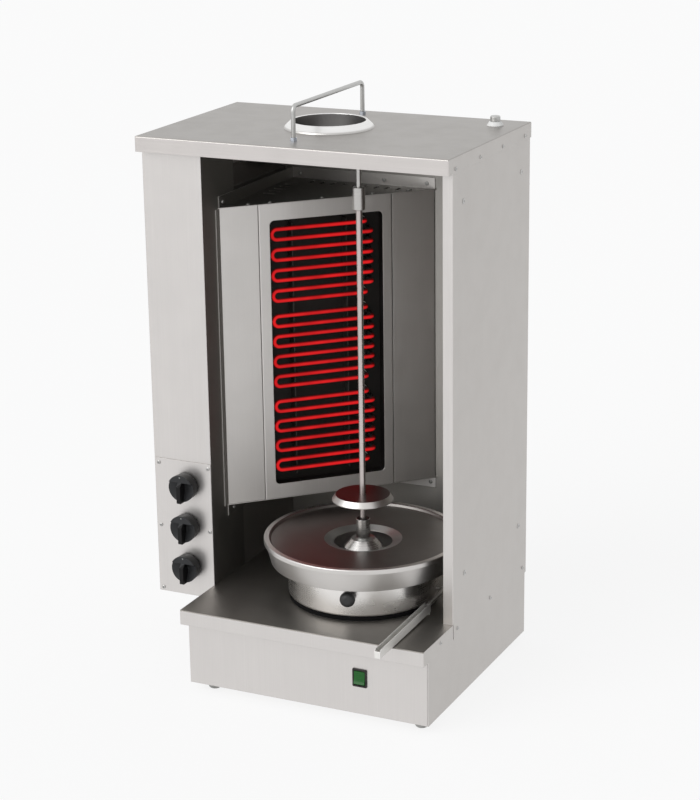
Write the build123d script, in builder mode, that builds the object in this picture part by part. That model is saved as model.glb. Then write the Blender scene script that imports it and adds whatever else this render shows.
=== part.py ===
"""Electric skewer grill for gyros: a folded stainless cabinet with a control column on its left,
a three-zone radiant heater standing diagonally across the back left corner of the cavity, and a
motor-driven vertical skewer over a grease pan, a grease drum and a drain gutter.

Frame: +Z up, Z = 0 on the worktop under the feet, X = 0 midway between the sides, Y = 0 midway
between the gutter's tip in front and the roof's rear edge. Millimetres.
"""
import os
from math import cos, pi, radians, sin, sqrt

from build123d import *

os.makedirs("parts", exist_ok=True)

# ------------------------------------------------------------------ driving dimensions
sheet = 1.2                     # stainless sheet of the cabinet
bend = 2.0                      # outside radius of its folds
gap = 0.3                       # working gap beside a piece that moves

width = 539.0                   # roof, side to side
roof_depth = 343.0
height = 900.0                  # worktop to the top of the roof
roof_lip = 25.0
gutter_reach = 148.0            # gutter's tip ahead of the roof's front edge
column_setback = 18.8           # column's face behind the roof's front edge
column_width = 107.4
column_bottom = 123.3
tray_reach = 99.0               # work tray ahead of the roof's front edge
tray_top = 148.2
tray_lip = 24.8
base_setback = 18.3             # base front behind the tray's lip
base_inset = 4.0                # base side inside the tray's left edge
base_bottom = 15.2
cover_inset = 4.0               # back cover ahead of the roof's rear edge
base_back_step = 5.0
panel_return = 17.0             # folded edges of the side sheets
running = 0.05                  # radial running fit of a shaft or a sleeve

half_width = width / 2
back = (roof_depth + gutter_reach) / 2
roof_front = back - roof_depth
roof_middle = (back + roof_front) / 2
roof_under = height - sheet
wall_top = roof_under - (bend - sheet)  # walls stop below the roof's inner fold
lip_bottom = height - roof_lip
column_front = roof_front + column_setback
column_right = column_width - half_width
side_face = half_width - sheet  # outer face of the side sheets, inside the roof's lip
tray_front = roof_front - tray_reach
tray_under = tray_top - sheet
tray_lip_bottom = tray_top - tray_lip
base_front = tray_front + base_setback
base_left = column_right + base_inset
cover_back = back - cover_inset
cavity_back = cover_back - sheet
base_back = cover_back - base_back_step

spit_x = 348.5 - half_width
spit_y = roof_front + 90.0


def plan(z):
    """Horizontal working plane at height z."""
    return Plane.XY.offset(z)


def front_plane(y):
    """Upright working plane facing the front at depth y: local x is X, local y is Z."""
    return Plane(origin=(0, y, 0), x_dir=(1, 0, 0), z_dir=(0, -1, 0))


def side_plane(x):
    """Upright working plane facing the right side at x: local x is Y, local y is Z."""
    return Plane(origin=(x, 0, 0), x_dir=(0, 1, 0), z_dir=(1, 0, 0))


def turned_plane(x, y):
    """Radial working plane of a turned piece: local x is the radius, local y is Z."""
    return Plane(origin=(x, y, 0), x_dir=(1, 0, 0), z_dir=(0, -1, 0))


def pan_screw(head_radius, head_height, shank_radius, shank_length):
    """Pan-head screw standing on its seat: the head is above local z = 0, the shank below."""
    with BuildPart() as screw:
        with BuildSketch(Plane.XZ):
            with BuildLine():
                Polyline((0, -shank_length), (shank_radius, -shank_length), (shank_radius, 0),
                         (head_radius, 0), (head_radius, head_height * 0.4),
                         (head_radius * 0.75, head_height), (0, head_height), close=True)
            make_face()
        revolve(axis=Axis.Z)
    return screw.part


# ------------------------------------------------------------------ control column and heater layout
plate_face = column_front - sheet
plate_screw_spots = [(x, z) for z in (352.0, 242.0, 130.0)
                     for x in (10.0 - half_width, 102.5 - half_width)]
heater_leg = 265.5              # the heater's reach along the left wall and along the back
heater_bottom = 272.0
heater_top = 778.0
heater_plane = Plane(origin=(column_right, cavity_back - heater_leg, 0),
                     x_dir=(1, 1, 0), z_dir=(1, -1, 0))

# ------------------------------------------------------------------ screw places
small_head = 3.3
screw_radius = 1.5
screw_length = 5.0
low_screw_z = 136.0
low_screw_spots = [(roof_front + y, low_screw_z) for y in (38.0, 177.0, 323.0)]
tray_screw_y, tray_screw_z = roof_front - 31.0, 137.5
lip_screw_z = height - 18.3
lip_screw_depths = (26.5, 125.4, 218.0, 313.7)
cover_screw_inset = 12.0
cover_screw_levels = (156.0, 390.0, 620.0, 860.0)
upper_flange_z = heater_top + 8.0
lower_flange_z = heater_bottom - 9.0


def facing(x, y, z, direction):
    """Place of a screw whose head stands at (x, y, z) and points along direction."""
    return Plane(origin=(x, y, z), z_dir=direction).location


screw_places = [facing(x, plate_face, z, (0, -1, 0)) for x, z in plate_screw_spots]
screw_places += [facing(side_face, y, z, (1, 0, 0)) for y, z in low_screw_spots]
screw_places += [facing(side_face, tray_screw_y, tray_screw_z, (1, 0, 0))]
for side in (-1, 1):
    screw_places += [facing(side * half_width, roof_front + y, lip_screw_z, (side, 0, 0))
                     for y in lip_screw_depths]
    screw_places += [facing(side * (side_face - cover_screw_inset), cover_back, z, (0, 1, 0))
                     for z in cover_screw_levels]
screw_places += [facing(column_right + sheet, roof_front + 85.0, upper_flange_z, (1, 0, 0)),
                 facing(column_right + sheet, roof_front + 91.7, lower_flange_z, (1, 0, 0)),
                 facing(362.0 - half_width, cavity_back - sheet, lower_flange_z, (0, -1, 0))]
screw_places += [facing(x - half_width, cavity_back - sheet, upper_flange_z, (0, -1, 0))
                 for x in (122.0, 279.0, 357.0)]
for s in (52.0, 89.0, 178.0, 267.0, 330.0):
    spot = heater_plane.from_local_coords((s, 0, -8.0))
    screw_places.append(facing(spot.X, spot.Y, heater_top, (0, 0, 1)))


def drill_screw_holes():
    """Cut, from the part being built, the hole of every screw that passes through it."""
    with Locations(*screw_places):
        Cylinder(screw_radius, 2 * screw_length, mode=Mode.SUBTRACT)


# ------------------------------------------------------------------ base and feet
switch_x = 420.0 - half_width
switch_z = 77.5
bezel_width, bezel_height = 25.0, 31.0
cutout_width, cutout_height = 21.6, 27.6
foot_radius = 10.5
foot_spots = [(x - half_width, y) for y in (roof_front - 52.0, base_back - 25.0) for x in (142.0, 514.0)]
foot_screw_radius = 2.5
base_right = side_face - sheet
low_side = base_bottom + 20.0   # height of the pan's right-hand fold, inside the side panel

with BuildPart() as base_pan:
    with BuildSketch(plan(base_bottom)):
        with Locations(((base_left + base_right) / 2, (base_front + base_back) / 2)):
            Rectangle(base_right - base_left, base_back - base_front)
    extrude(amount=tray_under - base_bottom)
    fillet(base_pan.edges().filter_by(Axis.Z), bend)
    offset(amount=-sheet, openings=base_pan.faces().sort_by(Axis.Z)[-1])
    with BuildSketch(side_plane(base_right)):
        with Locations(((base_front + base_back) / 2, (low_side + height) / 2)):
            Rectangle(base_back - base_front - 2 * bend, height - low_side)
    extrude(amount=-3 * sheet, mode=Mode.SUBTRACT)
    with BuildSketch(plan(tray_lip_bottom)):
        with Locations((base_right, base_back)):
            Rectangle(4 * sheet, 4 * sheet)
    extrude(amount=tray_lip, mode=Mode.SUBTRACT)
    with BuildSketch(front_plane(base_front - sheet)):
        with Locations((switch_x, switch_z)):
            Rectangle(cutout_width, cutout_height)
    extrude(amount=-3 * sheet, mode=Mode.SUBTRACT)
    with BuildSketch(plan(base_bottom)):
        with Locations(*foot_spots):
            Circle(foot_screw_radius)
    extrude(amount=sheet, mode=Mode.SUBTRACT)
base_pan.part.label = "base_pan"
export_step(base_pan.part, "parts/base_pan.step")

foot_plane = turned_plane(0, 0)
with BuildPart() as foot_blank:
    with BuildSketch(foot_plane):
        with BuildLine():
            Polyline((0, 0), (foot_radius - 2.0, 0), (foot_radius, 2.0), (foot_radius, base_bottom),
                     (foot_screw_radius, base_bottom), (foot_screw_radius, base_bottom + 6.0),
                     (0, base_bottom + 6.0), close=True)
        make_face()
    revolve(axis=Axis.Z)

with BuildPart() as feet:
    with Locations(*[(x, y, 0) for x, y in foot_spots]):
        add(foot_blank.part)
feet.part.label = "feet"
export_step(feet.part, "parts/feet.step")

# ------------------------------------------------------------------ work tray over the base
bearing_radius = 14.0           # hole for the drive bearing
tray_right = side_face
tray_inner_right = side_face - sheet
motor_screw_radius = 2.2
motor_screw_spots = [(spit_x + dx, spit_y + dy) for dx in (-42.0, 42.0) for dy in (-36.0, 36.0)]

with BuildPart() as work_tray:
    with BuildSketch(plan(tray_lip_bottom)):
        with BuildLine():
            Polyline((column_right, tray_front), (tray_right, tray_front),
                     (tray_right, column_front), (tray_inner_right, column_front),
                     (tray_inner_right, cavity_back), (column_right, cavity_back), close=True)
        make_face()
    extrude(amount=tray_lip)
    top_rim = work_tray.edges().group_by(Axis.Z)[-1]
    fillet(top_rim.sort_by(Axis.Y)[0], bend)
    with BuildSketch(plan(tray_lip_bottom)):
        with BuildLine():
            Polyline((column_right + sheet, tray_front + sheet), (tray_right - sheet, tray_front + sheet),
                     (tray_right - sheet, column_front - sheet),
                     (tray_inner_right - sheet, column_front - sheet),
                     (tray_inner_right - sheet, cavity_back - sheet),
                     (column_right + sheet, cavity_back - sheet), close=True)
        make_face()
    extrude(amount=tray_lip - sheet, mode=Mode.SUBTRACT)
    with BuildSketch(plan(tray_under)):
        with Locations((spit_x, spit_y)):
            Circle(bearing_radius)
        with Locations(*motor_screw_spots):
            Circle(motor_screw_radius)
    extrude(amount=sheet, mode=Mode.SUBTRACT)
    drill_screw_holes()
work_tray.part.label = "work_tray"
export_step(work_tray.part, "parts/work_tray.step")

# ------------------------------------------------------------------ right side panel
panel_inner = side_face - sheet
slit = 3.0                      # relief cut where the front return starts
panel_top = wall_top
side_screw_radius = 1.6
big_screw_spots = [(roof_front + y, z)
                   for y, z in ((60.0, 825.5), (302.0, 825.5), (66.0, 220.6), (302.0, 219.0))]

with BuildPart() as right_side_panel:
    with BuildSketch(side_plane(panel_inner)):
        with BuildLine():
            Polyline((base_front, base_bottom), (base_front, tray_lip_bottom),
                     (column_front + slit, tray_lip_bottom), (column_front + slit, tray_top),
                     (column_front, tray_top), (column_front, panel_top), (cavity_back, panel_top),
                     (cavity_back, tray_lip_bottom), (base_back, tray_lip_bottom),
                     (base_back, base_bottom), close=True)
        make_face()
    extrude(amount=sheet)
    with BuildSketch(plan(tray_top)):
        with Locations((side_face - panel_return / 2, column_front + sheet / 2)):
            Rectangle(panel_return, sheet)
    extrude(amount=panel_top - tray_top)
    with BuildSketch(plan(tray_top + gap)):
        with Locations((side_face - panel_return / 2, cavity_back - sheet / 2)):
            Rectangle(panel_return, sheet)
    extrude(amount=panel_top - tray_top - gap)
    fold_edge = right_side_panel.edges().filter_by(Axis.Z).sort_by_distance(
        (side_face, column_front, height / 2))[0]
    fillet(fold_edge, sheet)
    with BuildSketch(side_plane(panel_inner)):
        with Locations(*big_screw_spots):
            Circle(side_screw_radius)
    extrude(amount=sheet, mode=Mode.SUBTRACT)
    drill_screw_holes()
right_side_panel.part.label = "right_side_panel"
export_step(right_side_panel.part, "parts/right_side_panel.step")

# ------------------------------------------------------------------ control column
column_left = -side_face
plate_margin = 3.0
plate_top = 360.0
knob_x = 61.5 - half_width
knob_levels = {"upper": 318.7, "middle": 247.5, "lower": 176.4}
wall_front_depth = 108.2        # inner wall, front to its fold
wall_fold_y = column_front + wall_front_depth
fold_depth = 13.0
liner_top = 798.0               # above it the column is open to the cavity
liner_right = column_right - fold_depth
neck = 9.0                      # neck of each regulator, behind the plate
neck_radius = 16.0
plate_hole = 5.0                # clearance round a spindle

with BuildPart() as column_wrap:
    with BuildSketch(plan(column_bottom)):
        with BuildLine():
            Polyline((column_left, cavity_back), (column_left, column_front),
                     (column_right, column_front), (column_right, column_front + sheet),
                     (column_left + sheet, column_front + sheet), (column_left + sheet, cavity_back),
                     close=True)
        make_face()
    extrude(amount=wall_top - column_bottom)
    with BuildSketch(plan(column_bottom + 2 * sheet)):
        with Locations((column_left + panel_return / 2, cavity_back - sheet / 2)):
            Rectangle(panel_return, sheet)
    extrude(amount=wall_top - column_bottom - 2 * sheet)
    outer_fold = column_wrap.edges().filter_by(Axis.Z).sort_by_distance(
        (column_left, column_front, height / 2))[0]
    fillet(outer_fold, sheet)
    with BuildSketch(front_plane(column_front)):
        with Locations(*[(knob_x, z) for z in knob_levels.values()]):
            Circle(neck_radius + 1.0)
    extrude(amount=-sheet, mode=Mode.SUBTRACT)
    drill_screw_holes()
column_wrap.part.label = "column_wrap"
export_step(column_wrap.part, "parts/column_wrap.step")

with BuildPart() as column_floor:
    floor_left = column_left + sheet
    floor_right = column_right - sheet
    floor_front = column_front + sheet
    vent_length, vent_width, vent_pitch = 60.0, 5.0, 16.0
    with BuildSketch(plan(column_bottom)):
        with Locations(((floor_left + floor_right) / 2, (floor_front + cavity_back) / 2)):
            Rectangle(floor_right - floor_left, cavity_back - floor_front)
        with Locations((floor_right, wall_fold_y)):
            Rectangle(2 * fold_depth, 2 * sheet, mode=Mode.SUBTRACT)
    extrude(amount=sheet)
    with BuildSketch(plan(column_bottom)):
        with Locations(((floor_left + floor_right) / 2, (floor_front + cavity_back) / 2)):
            with GridLocations(0, vent_pitch, 1, 9):
                SlotOverall(vent_length, vent_width)
    extrude(amount=sheet, mode=Mode.SUBTRACT)
column_floor.part.label = "column_floor"
export_step(column_floor.part, "parts/column_floor.step")

with BuildPart() as column_inner_wall:
    with BuildSketch(plan(column_bottom)):
        with BuildLine():
            Polyline((column_right, column_front + sheet), (column_right, wall_fold_y),
                     (column_right - fold_depth, wall_fold_y),
                     (column_right - fold_depth, wall_fold_y - sheet),
                     (column_right - sheet, wall_fold_y - sheet),
                     (column_right - sheet, column_front + sheet), close=True)
        make_face()
    extrude(amount=wall_top - column_bottom)
    wall_fold = column_inner_wall.edges().filter_by(Axis.Z).sort_by_distance(
        (column_right, wall_fold_y, height / 2))[0]
    fillet(wall_fold, sheet)
    drill_screw_holes()
column_inner_wall.part.label = "column_inner_wall"
export_step(column_inner_wall.part, "parts/column_inner_wall.step")

with BuildPart() as column_liner:
    liner_run = cavity_back - sheet - wall_fold_y
    with BuildSketch(plan(column_bottom + sheet)):
        with Locations((liner_right - sheet / 2, wall_fold_y + liner_run / 2)):
            Rectangle(sheet, liner_run)
    extrude(amount=liner_top - column_bottom - sheet)
    with BuildSketch(plan(liner_top - sheet)):
        with Locations(((column_left + sheet + liner_right) / 2, wall_fold_y + liner_run / 2)):
            Rectangle(liner_right - column_left - sheet, liner_run)
    extrude(amount=sheet)
column_liner.part.label = "column_liner"
export_step(column_liner.part, "parts/column_liner.step")

with BuildPart() as control_plate:
    plate_left = plate_margin - half_width
    plate_bottom = column_bottom + 0.7
    with BuildSketch(front_plane(column_front)):
        with Locations(((plate_left + column_right) / 2, (plate_bottom + plate_top) / 2)):
            Rectangle(column_right - plate_left, plate_top - plate_bottom)
    extrude(amount=sheet)
    with BuildSketch(front_plane(column_front)):
        with Locations(*[(knob_x, z) for z in knob_levels.values()]):
            Circle(plate_hole)
    extrude(amount=sheet, mode=Mode.SUBTRACT)
    drill_screw_holes()
control_plate.part.label = "control_plate"
export_step(control_plate.part, "parts/control_plate.step")

# energy regulators, one behind each knob
regulator_body = 44.0
regulator_depth = 34.0
spindle_radius = 3.0
spindle_bore = spindle_radius + running
knob_radius = 23.5
knob_depth = 19.5
knob_stand = 3.8                # the knob stands this far off the plate
knob_taper = 3.5
grip_width, grip_proud = 7.0, 6.0
scoop_top = 11.0                # chord above the knob's centre where the scooped sides begin
scoop_rim, scoop_depth = 3.5, 10.5
knob_back = plate_face - knob_stand
knob_front = knob_back - knob_depth
spindle_tip = knob_front + scoop_depth + 1.5

for level, z in knob_levels.items():
    with BuildPart() as regulator:
        with BuildSketch(front_plane(column_front + sheet)):
            with Locations((knob_x, z)):
                RectangleRounded(regulator_body, regulator_body, 3.0)
        extrude(amount=-regulator_depth)
        with BuildSketch(front_plane(column_front + sheet)):
            with Locations((knob_x, z)):
                Circle(neck_radius)
        extrude(amount=sheet)
        with BuildSketch(front_plane(column_front + sheet + regulator_depth)):
            with Locations((knob_x, z)):
                with GridLocations(12.0, 16.0, 3, 2):
                    Rectangle(0.8, 6.3)
        extrude(amount=-8.0)
        with BuildSketch(front_plane(column_front)):
            with Locations((knob_x, z)):
                Circle(spindle_bore)
        extrude(amount=-(sheet + neck), mode=Mode.SUBTRACT)
    regulator.part.label = f"regulator_{level}"
    export_step(regulator.part, f"parts/regulator_{level}.step")

    with BuildPart() as spindle:
        spindle_back = column_front + sheet + neck - gap
        with BuildSketch(front_plane(spindle_back)):
            with Locations((knob_x, z)):
                Circle(spindle_radius)
        extrude(amount=spindle_back - spindle_tip)
        flat_length = knob_back - spindle_tip - 2.0
        with BuildSketch(front_plane(spindle_tip)):
            with Locations((knob_x, z + spindle_radius + 0.5)):
                Rectangle(3 * spindle_radius, spindle_radius + 1.0 - 0.4)
        extrude(amount=-flat_length, mode=Mode.SUBTRACT)
    spindle.part.label = f"spindle_{level}"
    export_step(spindle.part, f"parts/spindle_{level}.step")

    # what the fingers take from the knob: a dish below the chord, shallow at the rim
    with BuildPart() as scoop:
        with BuildSketch(Plane(origin=(knob_x, 0, z))):
            with BuildLine():
                Polyline((0, knob_front - 1.0), (knob_radius + 1.0, knob_front - 1.0),
                         (knob_radius + 1.0, knob_front + scoop_rim), (grip_width, knob_front + scoop_depth),
                         (0, knob_front + scoop_depth), close=True)
            make_face()
        revolve(axis=Axis((knob_x, 0, z), (0, 1, 0)))
        with BuildSketch(front_plane(knob_back)):
            with Locations((knob_x, z + scoop_top + knob_radius)):
                Rectangle(4 * knob_radius, 2 * knob_radius)
            with Locations((knob_x, z)):
                Rectangle(grip_width, 4 * knob_radius)
        extrude(amount=2 * knob_depth, mode=Mode.SUBTRACT)

    # a round body with a grip bar standing out of the dish
    with BuildPart() as knob:
        with BuildSketch(front_plane(knob_front)):
            with Locations((knob_x, z)):
                Circle(knob_radius)
        extrude(amount=-knob_depth, taper=knob_taper)
        fillet(knob.edges().group_by(Axis.Y)[0], 0.8)
        add(scoop.part, mode=Mode.SUBTRACT)
        with BuildSketch(side_plane(knob_x - grip_width / 2)):
            with BuildLine():
                Polyline((knob_front + scoop_depth, z + scoop_top), (knob_front, z + scoop_top),
                         (knob_front - grip_proud, z + scoop_top - grip_proud),
                         (knob_front - grip_proud, z - knob_radius + 1.0),
                         (knob_front - grip_proud + 1.5, z - knob_radius - 0.5),
                         (knob_front + scoop_depth, z - knob_radius - 0.5), close=True)
            make_face()
        extrude(amount=grip_width)
        with BuildSketch(front_plane(knob_back)):
            with Locations((knob_x, z)):
                Circle(knob_radius - 3.0)
                Circle(6.0, mode=Mode.SUBTRACT)
        extrude(amount=7.0, mode=Mode.SUBTRACT)
        with BuildSketch(front_plane(knob_back)):
            with Locations((knob_x, z)):
                Circle(spindle_radius)
        extrude(amount=knob_back - spindle_tip, mode=Mode.SUBTRACT)
    knob.part.label = f"knob_{level}"
    export_step(knob.part, f"parts/knob_{level}.step")

with BuildPart() as terminal_block:
    block_y = column_front + 150.0
    block_z = column_bottom + sheet
    block_height = 22.0
    with BuildSketch(plan(block_z)):
        with Locations(((column_left + liner_right) / 2, block_y)):
            Rectangle(24.0, 66.0)
    extrude(amount=block_height)
    chamfer(terminal_block.edges().group_by(Axis.Z)[-1].filter_by(Axis.Y), 4.0)
    with BuildSketch(plan(block_z + block_height)):
        with Locations(((column_left + liner_right) / 2, block_y)):
            with GridLocations(10.0, 11.0, 2, 6):
                Rectangle(5.0, 7.0)
    extrude(amount=-9.0, mode=Mode.SUBTRACT)
terminal_block.part.label = "terminal_block"
export_step(terminal_block.part, "parts/terminal_block.step")

# ------------------------------------------------------------------ back cover
with BuildPart() as back_cover:
    with BuildSketch(front_plane(cover_back)):
        with Locations((0, (column_bottom + wall_top) / 2)):
            Rectangle(2 * side_face, wall_top - column_bottom)
    extrude(amount=sheet)
    drill_screw_holes()
back_cover.part.label = "back_cover"
export_step(back_cover.part, "parts/back_cover.step")

# ------------------------------------------------------------------ roof
flue_x = 253.8 - half_width
flue_y = roof_front + 182.5
flue_bore = 59.4
flue_foot = 73.0
flue_rise = 11.7
flue_skirt = 19.5               # how far the flue's collar reaches below the roof
handle_rod = 3.6
handle_thread = 3.0
handle_reach = 126.7
handle_rise = 53.8
handle_feet = [(flue_x, flue_y - handle_reach), (flue_x, flue_y + handle_reach)]
gland_x = 496.5 - half_width
gland_y = roof_front + 291.0
gland_stub = 7.5
gland_tail = 11.0               # its thread below the roof
gland_base, gland_dome = 13.5, 6.5
gland_cap, gland_rise = 8.2, 15.4
gland_nut, gland_nut_height = 12.0, 5.0

with BuildPart() as roof_cap:
    with BuildSketch(plan(lip_bottom)):
        with Locations((0, roof_middle)):
            Rectangle(width, roof_depth)
    extrude(amount=roof_lip)
    fillet(roof_cap.edges().filter_by(Axis.Z), bend)
    fillet(roof_cap.edges().group_by(Axis.Z)[-1], bend)
    offset(amount=-sheet, openings=roof_cap.faces().sort_by(Axis.Z)[0])
    with BuildSketch(plan(roof_under)):
        with Locations((flue_x, flue_y)):
            Circle(flue_bore + sheet)
        with Locations(*handle_feet):
            Circle(handle_thread)
        with Locations((gland_x, gland_y)):
            Circle(gland_stub)
    extrude(amount=sheet, mode=Mode.SUBTRACT)
    drill_screw_holes()
roof_cap.part.label = "roof_cap"
export_step(roof_cap.part, "parts/roof_cap.step")

with BuildPart() as flue_collar:
    with BuildSketch(turned_plane(flue_x, flue_y)):
        with BuildLine():
            outside = FilletPolyline((flue_foot, height), (flue_foot - 1.5, height + 2.6),
                                     (flue_bore + 2.6, height + flue_rise),
                                     (flue_bore, height + flue_rise),
                                     (flue_bore, height - flue_skirt), radius=1.0)
            Polyline(outside @ 1, (flue_bore + sheet, height - flue_skirt),
                     (flue_bore + sheet, height + flue_rise - 2.5), (flue_foot - 3.4, height + 1.4),
                     (flue_foot - 3.4, height), outside @ 0)
        make_face()
    revolve(axis=Axis((flue_x, flue_y, 0), (0, 0, 1)))
flue_collar.part.label = "flue_collar"
export_step(flue_collar.part, "parts/flue_collar.step")

with BuildPart() as roof_handle:
    bar_level = height + handle_rise
    near_y, far_y = flue_y - handle_reach, flue_y + handle_reach
    with BuildLine():
        rail = FilletPolyline((flue_x, near_y, height + 5.0), (flue_x, near_y, bar_level),
                              (flue_x, far_y, bar_level), (flue_x, far_y, height + 5.0),
                              radius=9.0)
    with BuildSketch(Plane(origin=rail @ 0, z_dir=rail % 0)):
        Circle(handle_rod)
    sweep()
    with BuildSketch(plan(height - 9.0)):
        with Locations(*handle_feet):
            Circle(handle_thread)
    extrude(amount=14.0)
roof_handle.part.label = "roof_handle"
export_step(roof_handle.part, "parts/roof_handle.step")

with BuildPart() as handle_nuts:
    for nut_level in (height, roof_under - 4.5):
        with BuildSketch(plan(nut_level)):
            with Locations(*handle_feet):
                RegularPolygon(5.6, 6)
                Circle(handle_thread, mode=Mode.SUBTRACT)
        extrude(amount=4.5)
handle_nuts.part.label = "handle_nuts"
export_step(handle_nuts.part, "parts/handle_nuts.step")

with BuildPart() as roof_gland:
    with BuildSketch(turned_plane(gland_x, gland_y)):
        with BuildLine():
            Polyline((0, height - gland_tail), (gland_stub, height - gland_tail), (gland_stub, height),
                     (gland_base, height), (gland_base, height + 1.0),
                     (gland_cap + 1.3, height + gland_dome), (gland_cap - 1.0, height + gland_dome),
                     (gland_cap - 1.0, height + gland_dome + 1.2), (gland_cap, height + gland_dome + 1.2),
                     (gland_cap, height + gland_rise - 1.2), (gland_cap - 1.2, height + gland_rise),
                     (0, height + gland_rise), close=True)
        make_face()
    revolve(axis=Axis((gland_x, gland_y, 0), (0, 0, 1)))
    with BuildSketch(plan(roof_under - gland_nut_height)):
        with Locations((gland_x, gland_y)):
            RegularPolygon(gland_nut, 6)
    extrude(amount=gland_nut_height)
roof_gland.part.label = "roof_gland"
export_step(roof_gland.part, "parts/roof_gland.step")

# ------------------------------------------------------------------ heater across the back corner
heater_front_y = cavity_back - heater_leg
heater_flange = 18.5
face_bottom = heater_bottom + sheet
face_top = heater_top - sheet
cheek_left_end = 65.8
window_left, window_right = 66.6, 297.0
cheek_right_start = 297.8
cheek_right_end = heater_leg * sqrt(2) - 3.0
cheek_tab = 11.0
opening_centre = 182.8
opening_middle = 523.3
opening_width, opening_height = 195.5, 452.0
panel_proud = 0.6
plate_leg = heater_leg + sheet * sqrt(2)    # the plates stand one sheet ahead of the face
plate_front_y = cavity_back - plate_leg
corner_points = [(column_right, plate_front_y), (column_right, cavity_back),
                 (column_right + plate_leg, cavity_back)]

with BuildPart() as heater_top_plate:
    with BuildSketch(plan(face_top)):
        with BuildLine():
            Polyline(*corner_points, close=True)
        make_face()
    extrude(amount=sheet)
    with BuildSketch(plan(heater_top)):
        with Locations((column_right + sheet / 2, (plate_front_y + 2 * sheet + cavity_back) / 2)):
            Rectangle(sheet, cavity_back - plate_front_y - 2 * sheet)
        with Locations((column_right + heater_leg / 2, cavity_back - sheet / 2)):
            Rectangle(heater_leg - 2 * sheet, sheet)
    extrude(amount=heater_flange)
    with BuildSketch(plan(face_top)):
        with Locations((column_right + 138.0, cavity_back - 24.0)):
            with GridLocations(20.0, 0, 10, 1):
                SlotOverall(22.0, 5.0, rotation=90)
        with Locations((column_right + 24.0, cavity_back - 96.0)):
            with GridLocations(0, 20.0, 1, 5):
                SlotOverall(22.0, 5.0)
    extrude(amount=sheet, mode=Mode.SUBTRACT)
    drill_screw_holes()
heater_top_plate.part.label = "heater_top_plate"
export_step(heater_top_plate.part, "parts/heater_top_plate.step")

with BuildPart() as heater_bottom_plate:
    with BuildSketch(plan(heater_bottom)):
        with BuildLine():
            Polyline(*corner_points, close=True)
        make_face()
    extrude(amount=sheet)
    with BuildSketch(plan(heater_bottom - heater_flange)):
        with Locations((column_right + sheet / 2, (plate_front_y + 2 * sheet + cavity_back) / 2)):
            Rectangle(sheet, cavity_back - plate_front_y - 2 * sheet)
        with Locations((column_right + heater_leg / 2, cavity_back - sheet / 2)):
            Rectangle(heater_leg - 2 * sheet, sheet)
    extrude(amount=heater_flange)
    drill_screw_holes()
heater_bottom_plate.part.label = "heater_bottom_plate"
export_step(heater_bottom_plate.part, "parts/heater_bottom_plate.step")

with BuildPart() as heater_cheek_left:
    with BuildSketch(heater_plane):
        with Locations(((sheet + cheek_left_end) / 2, (face_bottom + face_top) / 2)):
            Rectangle(cheek_left_end - sheet, face_top - face_bottom)
    extrude(amount=-sheet)
    with BuildSketch(plan(face_bottom)):
        with Locations((column_right + sheet / 2, heater_front_y + sheet - cheek_tab / 2)):
            Rectangle(sheet, cheek_tab + sheet)
    extrude(amount=face_top - face_bottom)
heater_cheek_left.part.label = "heater_cheek_left"
export_step(heater_cheek_left.part, "parts/heater_cheek_left.step")

with BuildPart() as heater_cheek_right:
    with BuildSketch(heater_plane):
        with Locations(((cheek_right_start + cheek_right_end) / 2, (face_bottom + face_top) / 2)):
            Rectangle(cheek_right_end - cheek_right_start, face_top - face_bottom)
    extrude(amount=-sheet)
heater_cheek_right.part.label = "heater_cheek_right"
export_step(heater_cheek_right.part, "parts/heater_cheek_right.step")

with BuildPart() as heater_window_panel:
    window_return = 12.0
    with BuildSketch(heater_plane.offset(panel_proud)):
        with Locations(((window_left + window_right) / 2, (face_bottom + face_top) / 2)):
            Rectangle(window_right - window_left, face_top - face_bottom)
    extrude(amount=-window_return)
    panel_front = heater_window_panel.faces().sort_by(Axis(heater_plane.origin, heater_plane.z_dir))
    fillet(panel_front[-1].edges().filter_by(Axis.Z), bend)
    offset(amount=-sheet, openings=heater_window_panel.faces().sort_by(
        Axis(heater_plane.origin, heater_plane.z_dir))[0])
    with BuildSketch(heater_plane.offset(panel_proud)):
        with Locations((opening_centre, opening_middle)):
            RectangleRounded(opening_width, opening_height, 8.0)
    extrude(amount=-2 * sheet, mode=Mode.SUBTRACT)
    drill_screw_holes()
heater_window_panel.part.label = "heater_window_panel"
export_step(heater_window_panel.part, "parts/heater_window_panel.step")

# heating elements in their reflector
reflector_width = opening_width + 14.0
reflector_height = opening_height + 14.0
reflector_front = panel_proud - sheet
reflector_depth = 36.0
tube_radius = 3.6
tube_depth = 10.0               # tube's centre line behind the face
pass_pitch = 17.2
pass_count = 8
bend_radius = pass_pitch / 2
pass_left = 91.5
terminal_s = 256.0
element_tops = {"upper": 732.0, "middle": 585.5, "lower": 439.0}
terminal_end = reflector_depth + 44.0
return_s = 266.5                # where the inner passes leave the reflector and turn back
return_depth = reflector_depth + 10.0
tube_hole = 5.0                 # clearance round the tube in the reflector
bush_length, bush_inset = 12.0, 4.0
washer_radius, washer_length = 8.0, 5.0
pass_levels = {name: [top - i * pass_pitch for i in range(pass_count)]
               for name, top in element_tops.items()}
terminal_spots = [(terminal_s, levels[i]) for levels in pass_levels.values() for i in (0, -1)]
return_spots = [(return_s, level) for levels in pass_levels.values() for level in levels[1:-1]]

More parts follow.
